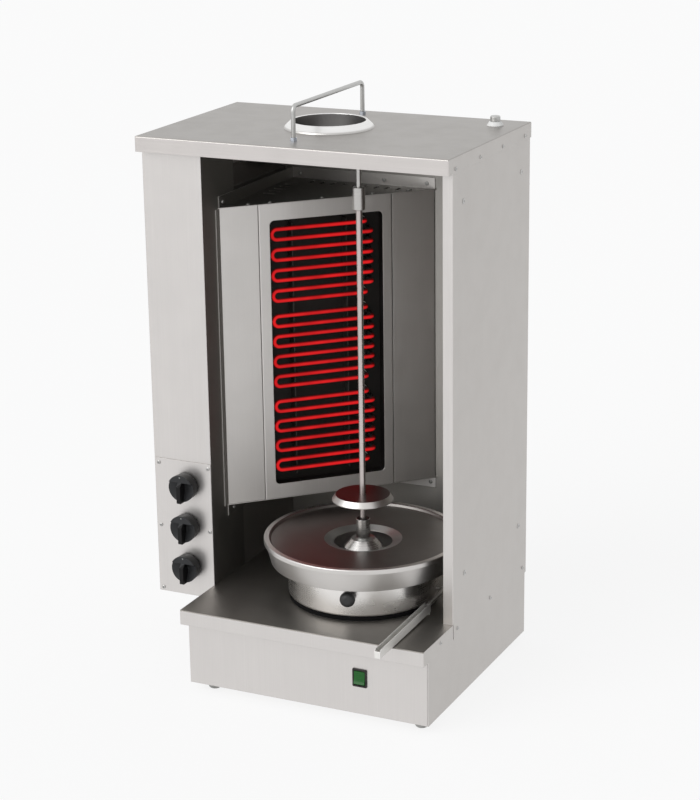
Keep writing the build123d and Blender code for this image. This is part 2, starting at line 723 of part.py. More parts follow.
with BuildPart() as reflector_box:
    with BuildSketch(heater_plane.offset(reflector_front)):
        with Locations((opening_centre, opening_middle)):
            RectangleRounded(reflector_width, reflector_height, 6.0)
    extrude(amount=-reflector_depth)
    offset(amount=-sheet, openings=reflector_box.faces().sort_by(
        Axis(heater_plane.origin, heater_plane.z_dir))[-1])
    with BuildSketch(heater_plane.offset(reflector_front)):
        with Locations(*terminal_spots, *return_spots):
            Circle(tube_hole)
    extrude(amount=-reflector_depth, mode=Mode.SUBTRACT)
reflector_box.part.label = "reflector_box"
export_step(reflector_box.part, "parts/reflector_box.step")

turn_left = pass_left + bend_radius         # axis of the half-round turns


def tube_plane(s, level):
    """Plane square to the element's passes, at s along the heater and at height level."""
    return Plane(origin=heater_plane.from_local_coords((s, level, -tube_depth)),
                 z_dir=heater_plane.x_dir)


for name, levels in pass_levels.items():
    # one tube folded back and forth: half-round turns on the left, and on the right bends that take
    # it through the reflector, where it turns back to the next pass or ends as a terminal
    with BuildPart() as element:
        for i, level in enumerate(levels):
            at_terminal = i in (0, pass_count - 1)
            exit_s = terminal_s if at_terminal else return_s
            run_end = terminal_end if at_terminal else return_depth
            exit_turn = exit_s - bend_radius
            with BuildSketch(tube_plane(turn_left, level)):
                Circle(tube_radius)
            extrude(amount=exit_turn - turn_left)
            turn_centre = tube_plane(exit_turn, level).origin - heater_plane.z_dir * bend_radius
            with BuildSketch(tube_plane(exit_turn, level)):
                Circle(tube_radius)
            revolve(axis=Axis(turn_centre, (0, 0, 1)), revolution_arc=90)
            with BuildSketch(heater_plane.offset(-(tube_depth + bend_radius))):
                with Locations((exit_s, level)):
                    Circle(tube_radius)
            extrude(amount=-(run_end - tube_depth - bend_radius))
            if i % 2 == 0:
                pair_centre = tube_plane(turn_left, level - pass_pitch / 2).origin
                with BuildSketch(tube_plane(turn_left, level)):
                    Circle(tube_radius)
                revolve(axis=Axis(pair_centre, heater_plane.z_dir), revolution_arc=180)
            elif not at_terminal:
                return_centre = heater_plane.from_local_coords(
                    (return_s, level - pass_pitch / 2, -return_depth))
                with BuildSketch(heater_plane.offset(-return_depth)):
                    with Locations((return_s, level)):
                        Circle(tube_radius)
                revolve(axis=Axis(return_centre, heater_plane.x_dir), revolution_arc=-180)
    print(f"element {name}: least gap between passes {pass_pitch - 2 * tube_radius:.2f} mm")
    element.part.label = f"element_{name}"
    export_step(element.part, f"parts/element_{name}.step")

with BuildPart() as element_insulators:
    reflector_back = reflector_front - reflector_depth
    with BuildSketch(heater_plane.offset(reflector_back + bush_inset)):
        with Locations(*terminal_spots):
            Circle(tube_hole)
            Circle(tube_radius, mode=Mode.SUBTRACT)
    extrude(amount=-bush_length)
    with BuildSketch(heater_plane.offset(reflector_back)):
        with Locations(*terminal_spots):
            Circle(washer_radius)
            Circle(tube_radius, mode=Mode.SUBTRACT)
    extrude(amount=-washer_length)
element_insulators.part.label = "element_insulators"
export_step(element_insulators.part, "parts/element_insulators.step")

with BuildPart() as element_combs:
    comb_front = tube_depth + tube_radius
    comb_back = reflector_depth - reflector_front - sheet
    for s in (128.0, 222.0):
        with BuildSketch(heater_plane.offset(-comb_front)):
            with Locations((s, opening_middle)):
                Rectangle(2.0, opening_height - 20.0)
        extrude(amount=-(comb_back - comb_front))
element_combs.part.label = "element_combs"
export_step(element_combs.part, "parts/element_combs.step")

with BuildPart() as insulation_board:
    board_front = reflector_depth - reflector_front
    board_thickness = 20.0
    board_width = 150.0             # it ends short of the terminals
    board_middle = opening_centre - 20.0
    with BuildSketch(heater_plane.offset(-board_front)):
        with Locations((board_middle, opening_middle)):
            Rectangle(board_width, reflector_height - 8.0)
    extrude(amount=-board_thickness)
insulation_board.part.label = "insulation_board"
export_step(insulation_board.part, "parts/insulation_board.step")

# ------------------------------------------------------------------ grease drum and pan
spit_axis = Axis((spit_x, spit_y, 0), (0, 0, 1))
drum_radius = 124.0
drum_bottom = 154.3
drum_sheet = 1.5
neck_inner = 17.0
neck_top = 226.0
pan_sheet = 1.5
pan_radius = 163.0
pan_skirt = 151.8
pan_top = 250.3
pan_skirt_bottom = 210.3
well_radius, well_edge = 48.0, 64.0
well_bottom = 238.7
spigot_radius = drum_radius - drum_sheet - gap
floor_edge = pan_skirt - 1.0
floor_level = pan_top - 4.5
pan_rest = floor_level - 3.4    # underside of the pan over the drum's wall
drum_top = pan_rest - gap
knob_angle = radians(-75.7)
clamp_level = 191.0

with BuildPart() as drum_seat_ring:
    with BuildSketch(plan(tray_top)):
        with Locations((spit_x, spit_y)):
            Circle(drum_radius - 1.5)
            Circle(drum_radius - 12.0, mode=Mode.SUBTRACT)
    extrude(amount=drum_bottom - tray_top)
drum_seat_ring.part.label = "drum_seat_ring"
export_step(drum_seat_ring.part, "parts/drum_seat_ring.step")

clamp_plane = Plane(origin=(spit_x, spit_y, clamp_level),
                    x_dir=(-sin(knob_angle), cos(knob_angle), 0),
                    z_dir=(cos(knob_angle), sin(knob_angle), 0))
clamp_stud = 3.0
spigot_bottom = clamp_level - 8.0
spout_level = 165.5
spout_drop = 3.0
spout_radius, spout_bore = 3.7, 2.9
spout_angle = radians(12.0)
spout_y = spit_y + drum_radius * sin(spout_angle)
gutter_x = 482.0 - half_width

with BuildPart() as grease_drum:
    with BuildSketch(turned_plane(spit_x, spit_y)):
        with BuildLine():
            Polyline((neck_inner, drum_bottom), (drum_radius - 5.0, drum_bottom))
            RadiusArc((drum_radius - 5.0, drum_bottom), (drum_radius, drum_bottom + 5.0), -5.0)
            Polyline((drum_radius, drum_bottom + 5.0), (drum_radius, drum_top),
                     (drum_radius - drum_sheet, drum_top),
                     (drum_radius - drum_sheet, drum_bottom + 5.0))
            RadiusArc((drum_radius - drum_sheet, drum_bottom + 5.0),
                      (drum_radius - 5.0, drum_bottom + drum_sheet), 3.5)
            Polyline((drum_radius - 5.0, drum_bottom + drum_sheet),
                     (neck_inner + drum_sheet, drum_bottom + drum_sheet),
                     (neck_inner + drum_sheet, neck_top), (neck_inner, neck_top),
                     (neck_inner, drum_bottom))
        make_face()
    revolve(axis=spit_axis)
    with BuildSketch(clamp_plane):
        Circle(clamp_stud + running)
    extrude(amount=2 * drum_radius, mode=Mode.SUBTRACT)
    with BuildSketch(side_plane(spit_x + drum_radius / 2)):
        with Locations((spout_y, spout_level)):
            Circle(spout_radius)
    extrude(amount=drum_radius, mode=Mode.SUBTRACT)
grease_drum.part.label = "grease_drum"
export_step(grease_drum.part, "parts/grease_drum.step")

with BuildPart() as drum_spout:
    spout_start = spit_x + drum_radius * cos(spout_angle) - 4.0
    spout_run = 73.0
    with BuildLine():
        spout_path = FilletPolyline((spout_start, spout_y, spout_level),
                                    (gutter_x, spout_y, spout_level),
                                    (gutter_x, spout_y - spout_run, spout_level - spout_drop),
                                    radius=9.0)
    with BuildSketch(Plane(origin=spout_path @ 0, z_dir=spout_path % 0)):
        Circle(spout_radius)
        Circle(spout_bore, mode=Mode.SUBTRACT)
    sweep()
drum_spout.part.label = "drum_spout"
export_step(drum_spout.part, "parts/drum_spout.step")

with BuildPart() as clamp_knob:
    stem_start = spigot_radius + running
    stem_end = drum_radius + 5.0
    knob_end = stem_end + 19.0
    clamp_radius = 12.2
    with BuildSketch(Plane(origin=clamp_plane.origin, x_dir=clamp_plane.z_dir,
                           z_dir=clamp_plane.x_dir)):
        with BuildLine():
            Polyline((stem_start, 0), (stem_start, clamp_stud), (stem_end, clamp_stud), (stem_end, 7.0))
            ThreePointArc((stem_end, 7.0), (stem_end + 3.0, 10.8), (stem_end + 8.0, clamp_radius))
            ThreePointArc((stem_end + 8.0, clamp_radius), (knob_end - 3.0, 10.2), (knob_end, 5.0))
            Polyline((knob_end, 5.0), (knob_end, 0), (stem_start, 0))
        make_face()
    revolve(axis=Axis(clamp_plane.origin, clamp_plane.z_dir))
clamp_knob.part.label = "clamp_knob"
export_step(clamp_knob.part, "parts/clamp_knob.step")

with BuildPart() as drip_pan:
    with BuildSketch(turned_plane(spit_x, spit_y)):
        with BuildLine():
            Polyline((well_radius, well_bottom), (well_edge, well_bottom + 5.0),
                     (floor_edge, floor_level), (floor_edge + 1.5, pan_top - 1.0))
            ThreePointArc((floor_edge + 1.5, pan_top - 1.0), (floor_edge + 3.0, pan_top),
                          (floor_edge + 4.5, pan_top))
            Line((floor_edge + 4.5, pan_top), (pan_radius - 2.0, pan_top))
            RadiusArc((pan_radius - 2.0, pan_top), (pan_radius, pan_top - 2.0), 2.0)
            Polyline((pan_radius, pan_top - 2.0), (pan_radius, pan_top - 7.5),
                     (pan_radius - 3.0, pan_top - 8.5), (pan_skirt, pan_skirt_bottom),
                     (pan_skirt - pan_sheet, pan_skirt_bottom),
                     (pan_radius - 3.0 - pan_sheet, pan_top - 8.5), (pan_radius - 2.5, pan_top - 2.0),
                     (floor_edge + 3.5, pan_top - 2.0), (floor_edge + 1.0, floor_level - pan_sheet),
                     (spigot_radius, pan_rest), (spigot_radius - pan_sheet, pan_rest),
                     (well_edge, well_bottom + 5.0 - pan_sheet), (well_radius, well_bottom - pan_sheet),
                     (well_radius, well_bottom))
        make_face()
    revolve(axis=spit_axis)
drip_pan.part.label = "drip_pan"
export_step(drip_pan.part, "parts/drip_pan.step")

# the ring under the pan that drops into the drum's mouth
with BuildPart() as pan_spigot:
    with BuildSketch(plan(spigot_bottom)):
        with Locations((spit_x, spit_y)):
            Circle(spigot_radius)
            Circle(spigot_radius - pan_sheet, mode=Mode.SUBTRACT)
    extrude(amount=pan_rest - spigot_bottom)
pan_spigot.part.label = "pan_spigot"
export_step(pan_spigot.part, "parts/pan_spigot.step")

# ------------------------------------------------------------------ gutter
gutter_width = 10.0
gutter_height = 15.0
gutter_wall = 0.8
gutter_tip = -back
gutter_tail = roof_front + 47.0
gutter_rise = 4.0
gutter_base = tray_top + gap

with BuildPart() as grease_gutter:
    with BuildSketch(side_plane(gutter_x - gutter_width / 2)):
        with BuildLine():
            Polyline((gutter_tip, gutter_base), (gutter_tail, gutter_base + gutter_rise),
                     (gutter_tail, gutter_base + gutter_rise + gutter_height),
                     (gutter_tip + 4.0, gutter_base + gutter_height),
                     (gutter_tip, gutter_base + gutter_height - 4.0), close=True)
        make_face()
    extrude(amount=gutter_width)
    with BuildSketch(side_plane(gutter_x - gutter_width / 2 + gutter_wall)):
        with BuildLine():
            Polyline((gutter_tip + gutter_wall, gutter_base + gutter_wall),
                     (gutter_tail + 5.0, gutter_base + gutter_wall + gutter_rise),
                     (gutter_tail + 5.0, gutter_base + 3 * gutter_height),
                     (gutter_tip + gutter_wall, gutter_base + 3 * gutter_height), close=True)
        make_face()
    extrude(amount=gutter_width - 2 * gutter_wall, mode=Mode.SUBTRACT)
    with BuildSketch(plan(gutter_base)):
        with Locations((gutter_x, gutter_tail - 4.0)):
            Rectangle(gutter_width, 3.0)
    extrude(amount=gutter_rise)
    with BuildSketch(plan(gutter_base)):
        with Locations((gutter_x, gutter_tip + 7.0)):
            Circle(2.5)
    extrude(amount=gutter_height / 2, mode=Mode.SUBTRACT)
grease_gutter.part.label = "grease_gutter"
export_step(grease_gutter.part, "parts/grease_gutter.step")

# ------------------------------------------------------------------ drive and skewer
shaft_radius = 8.0
shaft_top = 240.0
hub_foot, hub_crown = 32.3, 19.6
hub_bottom, hub_shoulder = 230.0, 244.0
socket_radius = 11.4
socket_top = 278.0
rod_radius = 5.0
rod_seat = 250.0
rod_top = 806.0
disc_radius, disc_crown = 50.0, 44.5
disc_top = 320.3
disc_height = 9.5
disc_sheet = 2.4
pin_radius = 4.0
gearbox_top = 118.0
gearbox_height = 44.0
gearbox_length, gearbox_width = 96.0, 64.0
gearbox_offset = 14.0           # its middle stands this far right of the shaft
gearbox_boss, boss_height = 15.0, 8.0
shaft_insert = 18.0             # shaft's reach into the gearbox
motor_radius = 30.0

with BuildPart() as shaft_bearing:
    with BuildSketch(turned_plane(spit_x, spit_y)):
        with BuildLine():
            Polyline((shaft_radius + running, tray_under - 14.0), (bearing_radius, tray_under - 14.0),
                     (bearing_radius, tray_top), (bearing_radius + 6.0, tray_top),
                     (bearing_radius + 6.0, tray_top + 4.0), (shaft_radius + running, tray_top + 4.0),
                     close=True)
        make_face()
    revolve(axis=spit_axis)
shaft_bearing.part.label = "shaft_bearing"
export_step(shaft_bearing.part, "parts/shaft_bearing.step")

with BuildPart() as gearbox:
    with BuildSketch(plan(gearbox_top - gearbox_height)):
        with Locations((spit_x + gearbox_offset, spit_y)):
            RectangleRounded(gearbox_length, gearbox_width, 6.0)
    extrude(amount=gearbox_height)
    chamfer(gearbox.edges().group_by(Axis.Z)[-1], 2.0)
    with BuildSketch(plan(gearbox_top)):
        with Locations((spit_x, spit_y)):
            Circle(gearbox_boss)
    extrude(amount=boss_height)
    with BuildSketch(plan(gearbox_top + boss_height)):
        with Locations((spit_x, spit_y)):
            Circle(shaft_radius + running)
    extrude(amount=-(boss_height + shaft_insert), mode=Mode.SUBTRACT)
gearbox.part.label = "gearbox"
export_step(gearbox.part, "parts/gearbox.step")

with BuildPart() as motor:
    motor_x = spit_x + gearbox_offset + gearbox_length / 2
    motor_length = 58.0
    motor_z = gearbox_top - gearbox_height / 2 - 2.0
    with BuildSketch(side_plane(motor_x)):
        with Locations((spit_y, motor_z)):
            Circle(motor_radius)
    extrude(amount=motor_length)
    fillet(motor.edges().group_by(Axis.X)[-1], 4.0)
    with BuildSketch(side_plane(motor_x + motor_length)):
        with Locations((spit_y, motor_z)):
            Circle(11.0)
    extrude(amount=7.0)
motor.part.label = "motor"
export_step(motor.part, "parts/motor.step")

with BuildPart() as motor_bracket:
    bracket_plate = 3.0
    bracket_width = 104.0
    with BuildSketch(plan(gearbox_top)):
        with Locations((spit_x, spit_y)):
            Rectangle(bracket_width, 60.0)
            Circle(gearbox_boss + 1.0, mode=Mode.SUBTRACT)
    extrude(amount=bracket_plate)
    for side in (-1, 1):
        with BuildSketch(plan(gearbox_top)):
            with Locations((spit_x, spit_y + side * (30.0 - bracket_plate / 2))):
                Rectangle(bracket_width, bracket_plate)
        extrude(amount=tray_under - gearbox_top)
        with BuildSketch(plan(tray_under - bracket_plate)):
            with Locations((spit_x, spit_y + side * (30.0 + 7.0))):
                Rectangle(bracket_width, 14.0)
        extrude(amount=bracket_plate)
    with BuildSketch(plan(tray_under - bracket_plate)):
        with Locations(*motor_screw_spots):
            Circle(motor_screw_radius)
    extrude(amount=bracket_plate, mode=Mode.SUBTRACT)
motor_bracket.part.label = "motor_bracket"
export_step(motor_bracket.part, "parts/motor_bracket.step")

with BuildPart() as drive_shaft:
    shaft_foot = gearbox_top - shaft_insert + 0.5
    with BuildSketch(plan(shaft_foot)):
        with Locations((spit_x, spit_y)):
            Circle(shaft_radius)
    extrude(amount=shaft_top - shaft_foot)
    chamfer(drive_shaft.edges().group_by(Axis.Z)[0], 1.0)
drive_shaft.part.label = "drive_shaft"
export_step(drive_shaft.part, "parts/drive_shaft.step")

with BuildPart() as skewer_hub:
    with BuildSketch(turned_plane(spit_x, spit_y)):
        with BuildLine():
            Polyline((0, shaft_top), (shaft_radius, shaft_top), (shaft_radius, hub_bottom),
                     (hub_foot - 2.0, hub_bottom), (hub_foot, hub_bottom + 0.8),
                     (hub_crown, hub_shoulder), (socket_radius, hub_shoulder + 0.6),
                     (socket_radius, socket_top - 0.8), (socket_radius - 0.8, socket_top),
                     (rod_radius + 2.4, socket_top), (rod_radius + 2.0, socket_top - 5.0),
                     (rod_radius, socket_top - 5.0), (rod_radius, rod_seat), (0, rod_seat), close=True)
        make_face()
    revolve(axis=spit_axis)
skewer_hub.part.label = "skewer_hub"
export_step(skewer_hub.part, "parts/skewer_hub.step")

with BuildPart() as skewer_rod:
    with BuildSketch(plan(rod_seat)):
        with Locations((spit_x, spit_y)):
            Circle(rod_radius)
    extrude(amount=rod_top - rod_seat)
    chamfer(skewer_rod.edges().group_by(Axis.Z)[-1], 1.2)
    with BuildSketch(side_plane(spit_x - disc_radius)):
        with Locations((spit_y, disc_top - disc_height - 2.0)):
            Circle(1.5)
    extrude(amount=2 * disc_radius, mode=Mode.SUBTRACT)
skewer_rod.part.label = "skewer_rod"
export_step(skewer_rod.part, "parts/skewer_rod.step")

with BuildPart() as disc_stop_pin:
    with BuildSketch(side_plane(spit_x - 9.0)):
        with Locations((spit_y, disc_top - disc_height - 2.0)):
            Circle(1.5)
    extrude(amount=18.0)
disc_stop_pin.part.label = "disc_stop_pin"
export_step(disc_stop_pin.part, "parts/disc_stop_pin.step")

with BuildPart() as meat_disc:
    disc_bottom = disc_top - disc_height
    disc_boss = 10.0
    with BuildSketch(turned_plane(spit_x, spit_y)):
        with BuildLine():
            Polyline((rod_radius + running, disc_bottom), (disc_boss, disc_bottom),
                     (disc_boss, disc_top - disc_sheet), (disc_crown - 2.0, disc_top - disc_sheet),
                     (disc_radius - disc_sheet, disc_bottom), (disc_radius, disc_bottom),
                     (disc_radius, disc_bottom + 1.0), (disc_crown, disc_top),
                     (rod_radius + running, disc_top), close=True)
        make_face()
    revolve(axis=spit_axis)
meat_disc.part.label = "meat_disc"
export_step(meat_disc.part, "parts/meat_disc.step")

with BuildPart() as top_sleeve:
    sleeve_bottom, sleeve_top, sleeve_radius = 791.4, 827.7, 10.0
    with BuildSketch(turned_plane(spit_x, spit_y)):
        with BuildLine():
            Polyline((rod_radius + running, sleeve_bottom), (sleeve_radius - 0.8, sleeve_bottom),
                     (sleeve_radius, sleeve_bottom + 0.8), (sleeve_radius, sleeve_top - 0.8),
                     (sleeve_radius - 0.8, sleeve_top), (pin_radius + running, sleeve_top),
                     (pin_radius + running, rod_top + gap), (rod_radius + running, rod_top + gap),
                     close=True)
        make_face()
    revolve(axis=spit_axis)
top_sleeve.part.label = "top_sleeve"
export_step(top_sleeve.part, "parts/top_sleeve.step")

# the pin hangs from a plate under the roof
pin_plate = 3.0
pin_foot = rod_top + 5.0
pin_collar = 9.0

with BuildPart() as top_pin:
    with BuildSketch(turned_plane(spit_x, spit_y)):
        with BuildLine():
            Polyline((0, pin_foot), (pin_radius - 1.0, pin_foot), (pin_radius, pin_foot + 1.0),
                     (pin_radius, roof_under - 14.0), (pin_collar, roof_under - 14.0),
                     (pin_collar, roof_under - pin_plate), (0, roof_under - pin_plate), close=True)
        make_face()
    revolve(axis=spit_axis)
    with BuildSketch(plan(roof_under - pin_plate)):
        with Locations((spit_x, spit_y)):
            RectangleRounded(70.0, 50.0, 4.0)
    extrude(amount=pin_plate)
top_pin.part.label = "top_pin"
export_step(top_pin.part, "parts/top_pin.step")

# ------------------------------------------------------------------ rocker switch
bezel_depth = 2.2
rocker_face = base_front - bezel_depth
rocker_width = 18.6
rocker_radius = 12.2            # its ends are round about the pivot
rocker_tilt = radians(7.0)      # at rest the lower half stands out
pivot_depth = 5.0
pivot_y = rocker_face + pivot_depth
pivot_radius = 1.5
rocker_plane = Plane(origin=(switch_x + rocker_width / 2, pivot_y, switch_z),
                     x_dir=(0, -cos(rocker_tilt), sin(rocker_tilt)), z_dir=(-1, 0, 0))

with BuildPart() as switch_housing:
    with BuildSketch(front_plane(base_front)):
        with Locations((switch_x, switch_z)):
            RectangleRounded(bezel_width, bezel_height, 2.0)
    extrude(amount=bezel_depth)
    fillet(switch_housing.edges().group_by(Axis.Y)[0], 0.8)
    with BuildSketch(front_plane(base_front)):
        with Locations((switch_x, switch_z)):
            Rectangle(cutout_width, cutout_height)
    extrude(amount=-24.0)
    with BuildSketch(front_plane(rocker_face)):
        with Locations((switch_x, switch_z)):
            Rectangle(rocker_width + 2 * gap, 2 * (rocker_radius + gap))
    extrude(amount=-14.0, mode=Mode.SUBTRACT)
    with BuildSketch(side_plane(switch_x)):
        with Locations((pivot_y, switch_z)):
            Circle(pivot_radius + running)
    extrude(amount=cutout_width / 2, both=True, mode=Mode.SUBTRACT)
switch_housing.part.label = "switch_housing"
export_step(switch_housing.part, "parts/switch_housing.step")

with BuildPart() as switch_rocker:
    front_reach, dish_reach, rear_reach = 6.6, 5.0, -2.0
    front_half = sqrt(rocker_radius ** 2 - front_reach ** 2)
    rear_half = sqrt(rocker_radius ** 2 - rear_reach ** 2)
    with BuildSketch(rocker_plane):
        with BuildLine():
            ThreePointArc((front_reach, -front_half), (dish_reach, 0), (front_reach, front_half))
            RadiusArc((front_reach, front_half), (rear_reach, rear_half), -rocker_radius)
            Polyline((rear_reach, rear_half), (rear_reach - 1.0, 0), (rear_reach, -rear_half))
            RadiusArc((rear_reach, -rear_half), (front_reach, -front_half), -rocker_radius)
        make_face()
    extrude(amount=rocker_width)
    with BuildSketch(side_plane(switch_x)):
        with Locations((pivot_y, switch_z)):
            Circle(pivot_radius)
    extrude(amount=rocker_width / 2 + gap + 1.0, both=True)
switch_rocker.part.label = "switch_rocker"
export_step(switch_rocker.part, "parts/switch_rocker.step")

# ------------------------------------------------------------------ fasteners
small_screw = pan_screw(small_head, 1.6, screw_radius, screw_length)
large_screw = pan_screw(4.6, 1.2, side_screw_radius, screw_length)

with BuildPart() as cabinet_screws:
    with Locations(*screw_places):
        add(small_screw)
cabinet_screws.part.label = "cabinet_screws"
export_step(cabinet_screws.part, "parts/cabinet_screws.step")

with BuildPart() as side_screws:
    with Locations(*[facing(side_face, y, z, (1, 0, 0)) for y, z in big_screw_spots]):
        add(large_screw)
side_screws.part.label = "side_screws"
export_step(side_screws.part, "parts/side_screws.step")

with BuildPart() as motor_screws:
    with BuildSketch(plan(tray_top)):
        with Locations(*motor_screw_spots):
            RegularPolygon(4.0, 6)
    extrude(amount=3.0)
    with BuildSketch(plan(tray_under - bracket_plate - 3.0)):
        with Locations(*motor_screw_spots):
            Circle(motor_screw_radius)
    extrude(amount=sheet + bracket_plate + 3.0)
motor_screws.part.label = "motor_screws"
export_step(motor_screws.part, "parts/motor_screws.step")
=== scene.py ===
"""Looks of the electric skewer grill: brushed cabinet, glowing heater, turned pan and skewer,
phenolic knobs, on a pale studio floor. Metres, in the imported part's own frame.
"""
import math

import bmesh
import bpy
from mathutils import Matrix, Vector


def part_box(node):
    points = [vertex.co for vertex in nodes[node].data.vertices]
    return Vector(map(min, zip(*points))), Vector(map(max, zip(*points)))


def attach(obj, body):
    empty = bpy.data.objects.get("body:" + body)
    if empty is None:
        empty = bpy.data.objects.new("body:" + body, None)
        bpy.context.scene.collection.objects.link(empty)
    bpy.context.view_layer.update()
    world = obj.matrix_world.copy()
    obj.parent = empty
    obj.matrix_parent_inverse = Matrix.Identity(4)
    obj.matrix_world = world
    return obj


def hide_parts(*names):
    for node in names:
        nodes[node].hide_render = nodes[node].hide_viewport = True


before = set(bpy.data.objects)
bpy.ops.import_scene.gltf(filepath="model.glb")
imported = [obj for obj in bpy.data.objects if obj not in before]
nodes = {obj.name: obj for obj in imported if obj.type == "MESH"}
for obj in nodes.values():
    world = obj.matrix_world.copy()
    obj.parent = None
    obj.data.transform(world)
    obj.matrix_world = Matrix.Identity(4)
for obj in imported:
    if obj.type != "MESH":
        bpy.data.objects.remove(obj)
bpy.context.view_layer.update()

mm = 0.001

# ---------------------------------------------------------------- places worked out from the frame
rod_low, rod_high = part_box("skewer_rod")
spit_x = (rod_low.x + rod_high.x) / 2
spit_y = (rod_low.y + rod_high.y) / 2
flue_low, flue_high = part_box("flue_collar")
flue_x = (flue_low.x + flue_high.x) / 2
flue_y = (flue_low.y + flue_high.y) / 2
roof_low, roof_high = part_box("roof_cap")
tray_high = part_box("work_tray")[1]
column_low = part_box("column_wrap")[0]
pan_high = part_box("drip_pan")[1]
plate_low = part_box("heater_top_plate")[0]
sheet = 1.2 * mm
heater_facing = (math.sqrt(0.5), -math.sqrt(0.5), 0.0)      # the heater's face looks this way
heater_offset = (plate_low.x - plate_low.y) * math.sqrt(0.5) - sheet    # its distance from the origin


# ---------------------------------------------------------------- node materials
class Finish:
    """A node material under construction. add() makes a node, set() feeds the shader's sockets."""

    def __init__(self, name):
        self.data = bpy.data.materials.new(name)
        self.data.use_nodes = True
        self.tree = self.data.node_tree
        self.shader = self.tree.nodes["Principled BSDF"]

    def feed(self, socket, value):
        """Link a node's output to the socket, or write a plain value there."""
        if isinstance(value, bpy.types.NodeSocket):
            self.tree.links.new(value, socket)
        else:
            socket.default_value = value

    def add(self, kind, settings=None, inputs=None, out=0):
        """Make a node, give it its settings and inputs, and return one of its outputs."""
        node = self.tree.nodes.new(kind)
        for key, value in (settings or {}).items():
            setattr(node, key, value)
        for key, value in (inputs or {}).items():
            self.feed(node.inputs[key], value)
        return node.outputs[out]

    def set(self, **sockets):
        for name, value in sockets.items():
            self.feed(self.shader.inputs[name.replace("_", " ")], value)

    def place(self):
        """The point's place in the part's frame."""
        return self.add("ShaderNodeTexCoord", out="Object")

    def math(self, operation, a, b=0.0, clamp=False):
        return self.add("ShaderNodeMath", {"operation": operation, "use_clamp": clamp}, {0: a, 1: b})

    def spread(self, value, low, high, to_low, to_high):
        """Map a value from one range to another, held at both ends."""
        return self.add("ShaderNodeMapRange", None,
                        {"Value": value, "From Min": low, "From Max": high,
                         "To Min": to_low, "To Max": to_high})

    def noise(self, vector, scale, detail=2.0, roughness=0.5):
        return self.add("ShaderNodeTexNoise", None,
                        {"Vector": vector, "Scale": scale, "Detail": detail, "Roughness": roughness})

    def stretched(self, vector, stretch):
        return self.add("ShaderNodeVectorMath", {"operation": "MULTIPLY"}, {0: vector, 1: stretch})

    def mix(self, factor, a, b, blend="MIX"):
        node = self.tree.nodes.new("ShaderNodeMix")
        node.data_type = "RGBA"
        node.blend_type = blend
        self.feed(node.inputs[0], factor)
        self.feed(node.inputs[6], a)
        self.feed(node.inputs[7], b)
        return node.outputs[2]

    def bump(self, height, distance, strength=1.0, base=None):
        inputs = {"Height": height, "Distance": distance, "Strength": strength}
        if base:
            inputs["Normal"] = base
        return self.add("ShaderNodeBump", None, inputs)

    def rounded(self, radius):
        """Normal with the sharp edges rounded off, and a 0 to 1 value that is high along them."""
        soft = self.add("ShaderNodeBevel", {"samples": 4}, {"Radius": radius})
        true = self.add("ShaderNodeNewGeometry", out="True Normal")
        match = self.add("ShaderNodeVectorMath", {"operation": "DOT_PRODUCT"}, {0: soft, 1: true},
                         out="Value")
        return soft, self.spread(match, 0.80, 0.99, 1.0, 0.0)

    def axis_distance(self, x, y):
        """Distance from an upright axis through (x, y)."""
        offset = self.add("ShaderNodeVectorMath", {"operation": "SUBTRACT"},
                          {0: self.place(), 1: (x, y, 0.0)})
        flat = self.stretched(offset, (1.0, 1.0, 0.0))
        return self.add("ShaderNodeVectorMath", {"operation": "LENGTH"}, {0: flat}, out="Value")


def rgb(red, green, blue):
    return (red, green, blue, 1.0)


def shade(colour, factor):
    return rgb(*(channel * factor for channel in colour[:3]))


BRUSH_FINE = 2600.0             # brush marks per metre across the grain
BRUSH_ALONG = 9.0               # and along it


def brushed_sheet(name, colour, grain="z", roughness=0.36, edge=1.0, fold=0.9):
    """Brushed stainless sheet: long fine marks along the grain, faint clouds, handling smudges,
    and folds and cut edges, of radius fold in mm, rounded in the shading and lightened in
    colour as a painted highlight, as far as edge says."""
    m = Finish(name)
    stretch = {"x": (BRUSH_ALONG, BRUSH_FINE, BRUSH_FINE),
               "y": (BRUSH_FINE, BRUSH_ALONG, BRUSH_FINE),
               "z": (BRUSH_FINE, BRUSH_FINE, BRUSH_ALONG)}[grain]
    place = m.place()
    marks = m.noise(m.stretched(place, stretch), 1.0, 3.0, 0.6)
    bands = m.noise(m.stretched(place, tuple(s * 0.05 for s in stretch)), 1.0, 2.0, 0.5)
    clouds = m.noise(place, 5.0, 3.0, 0.55)
    smudges = m.noise(place, 23.0, 4.0, 0.6)
    soft, rim = m.rounded(fold * mm)
    tone = m.mix(m.spread(marks, 0.3, 0.7, 0.0, 1.0), shade(colour, 0.94), shade(colour, 1.05))
    tone = m.mix(m.spread(bands, 0.35, 0.65, 0.0, 0.5), tone, shade(colour, 0.985))
    tone = m.mix(m.spread(clouds, 0.35, 0.65, 0.0, 0.35), tone, shade(colour, 0.95))
    # Painted highlight: lighter colour along folds and edges.
    tone = m.mix(m.math("MULTIPLY", rim, 0.16 * edge), tone, rgb(0.85, 0.845, 0.835))
    worn = m.math("ADD", m.spread(marks, 0.3, 0.7, -0.05, 0.05), m.spread(smudges, 0.4, 0.7, 0.0, 0.05))
    m.set(Base_Color=tone, Metallic=1.0, Roughness=m.math("ADD", worn, roughness),
          Normal=m.bump(marks, 0.00002, 0.25, soft))
    return m.data


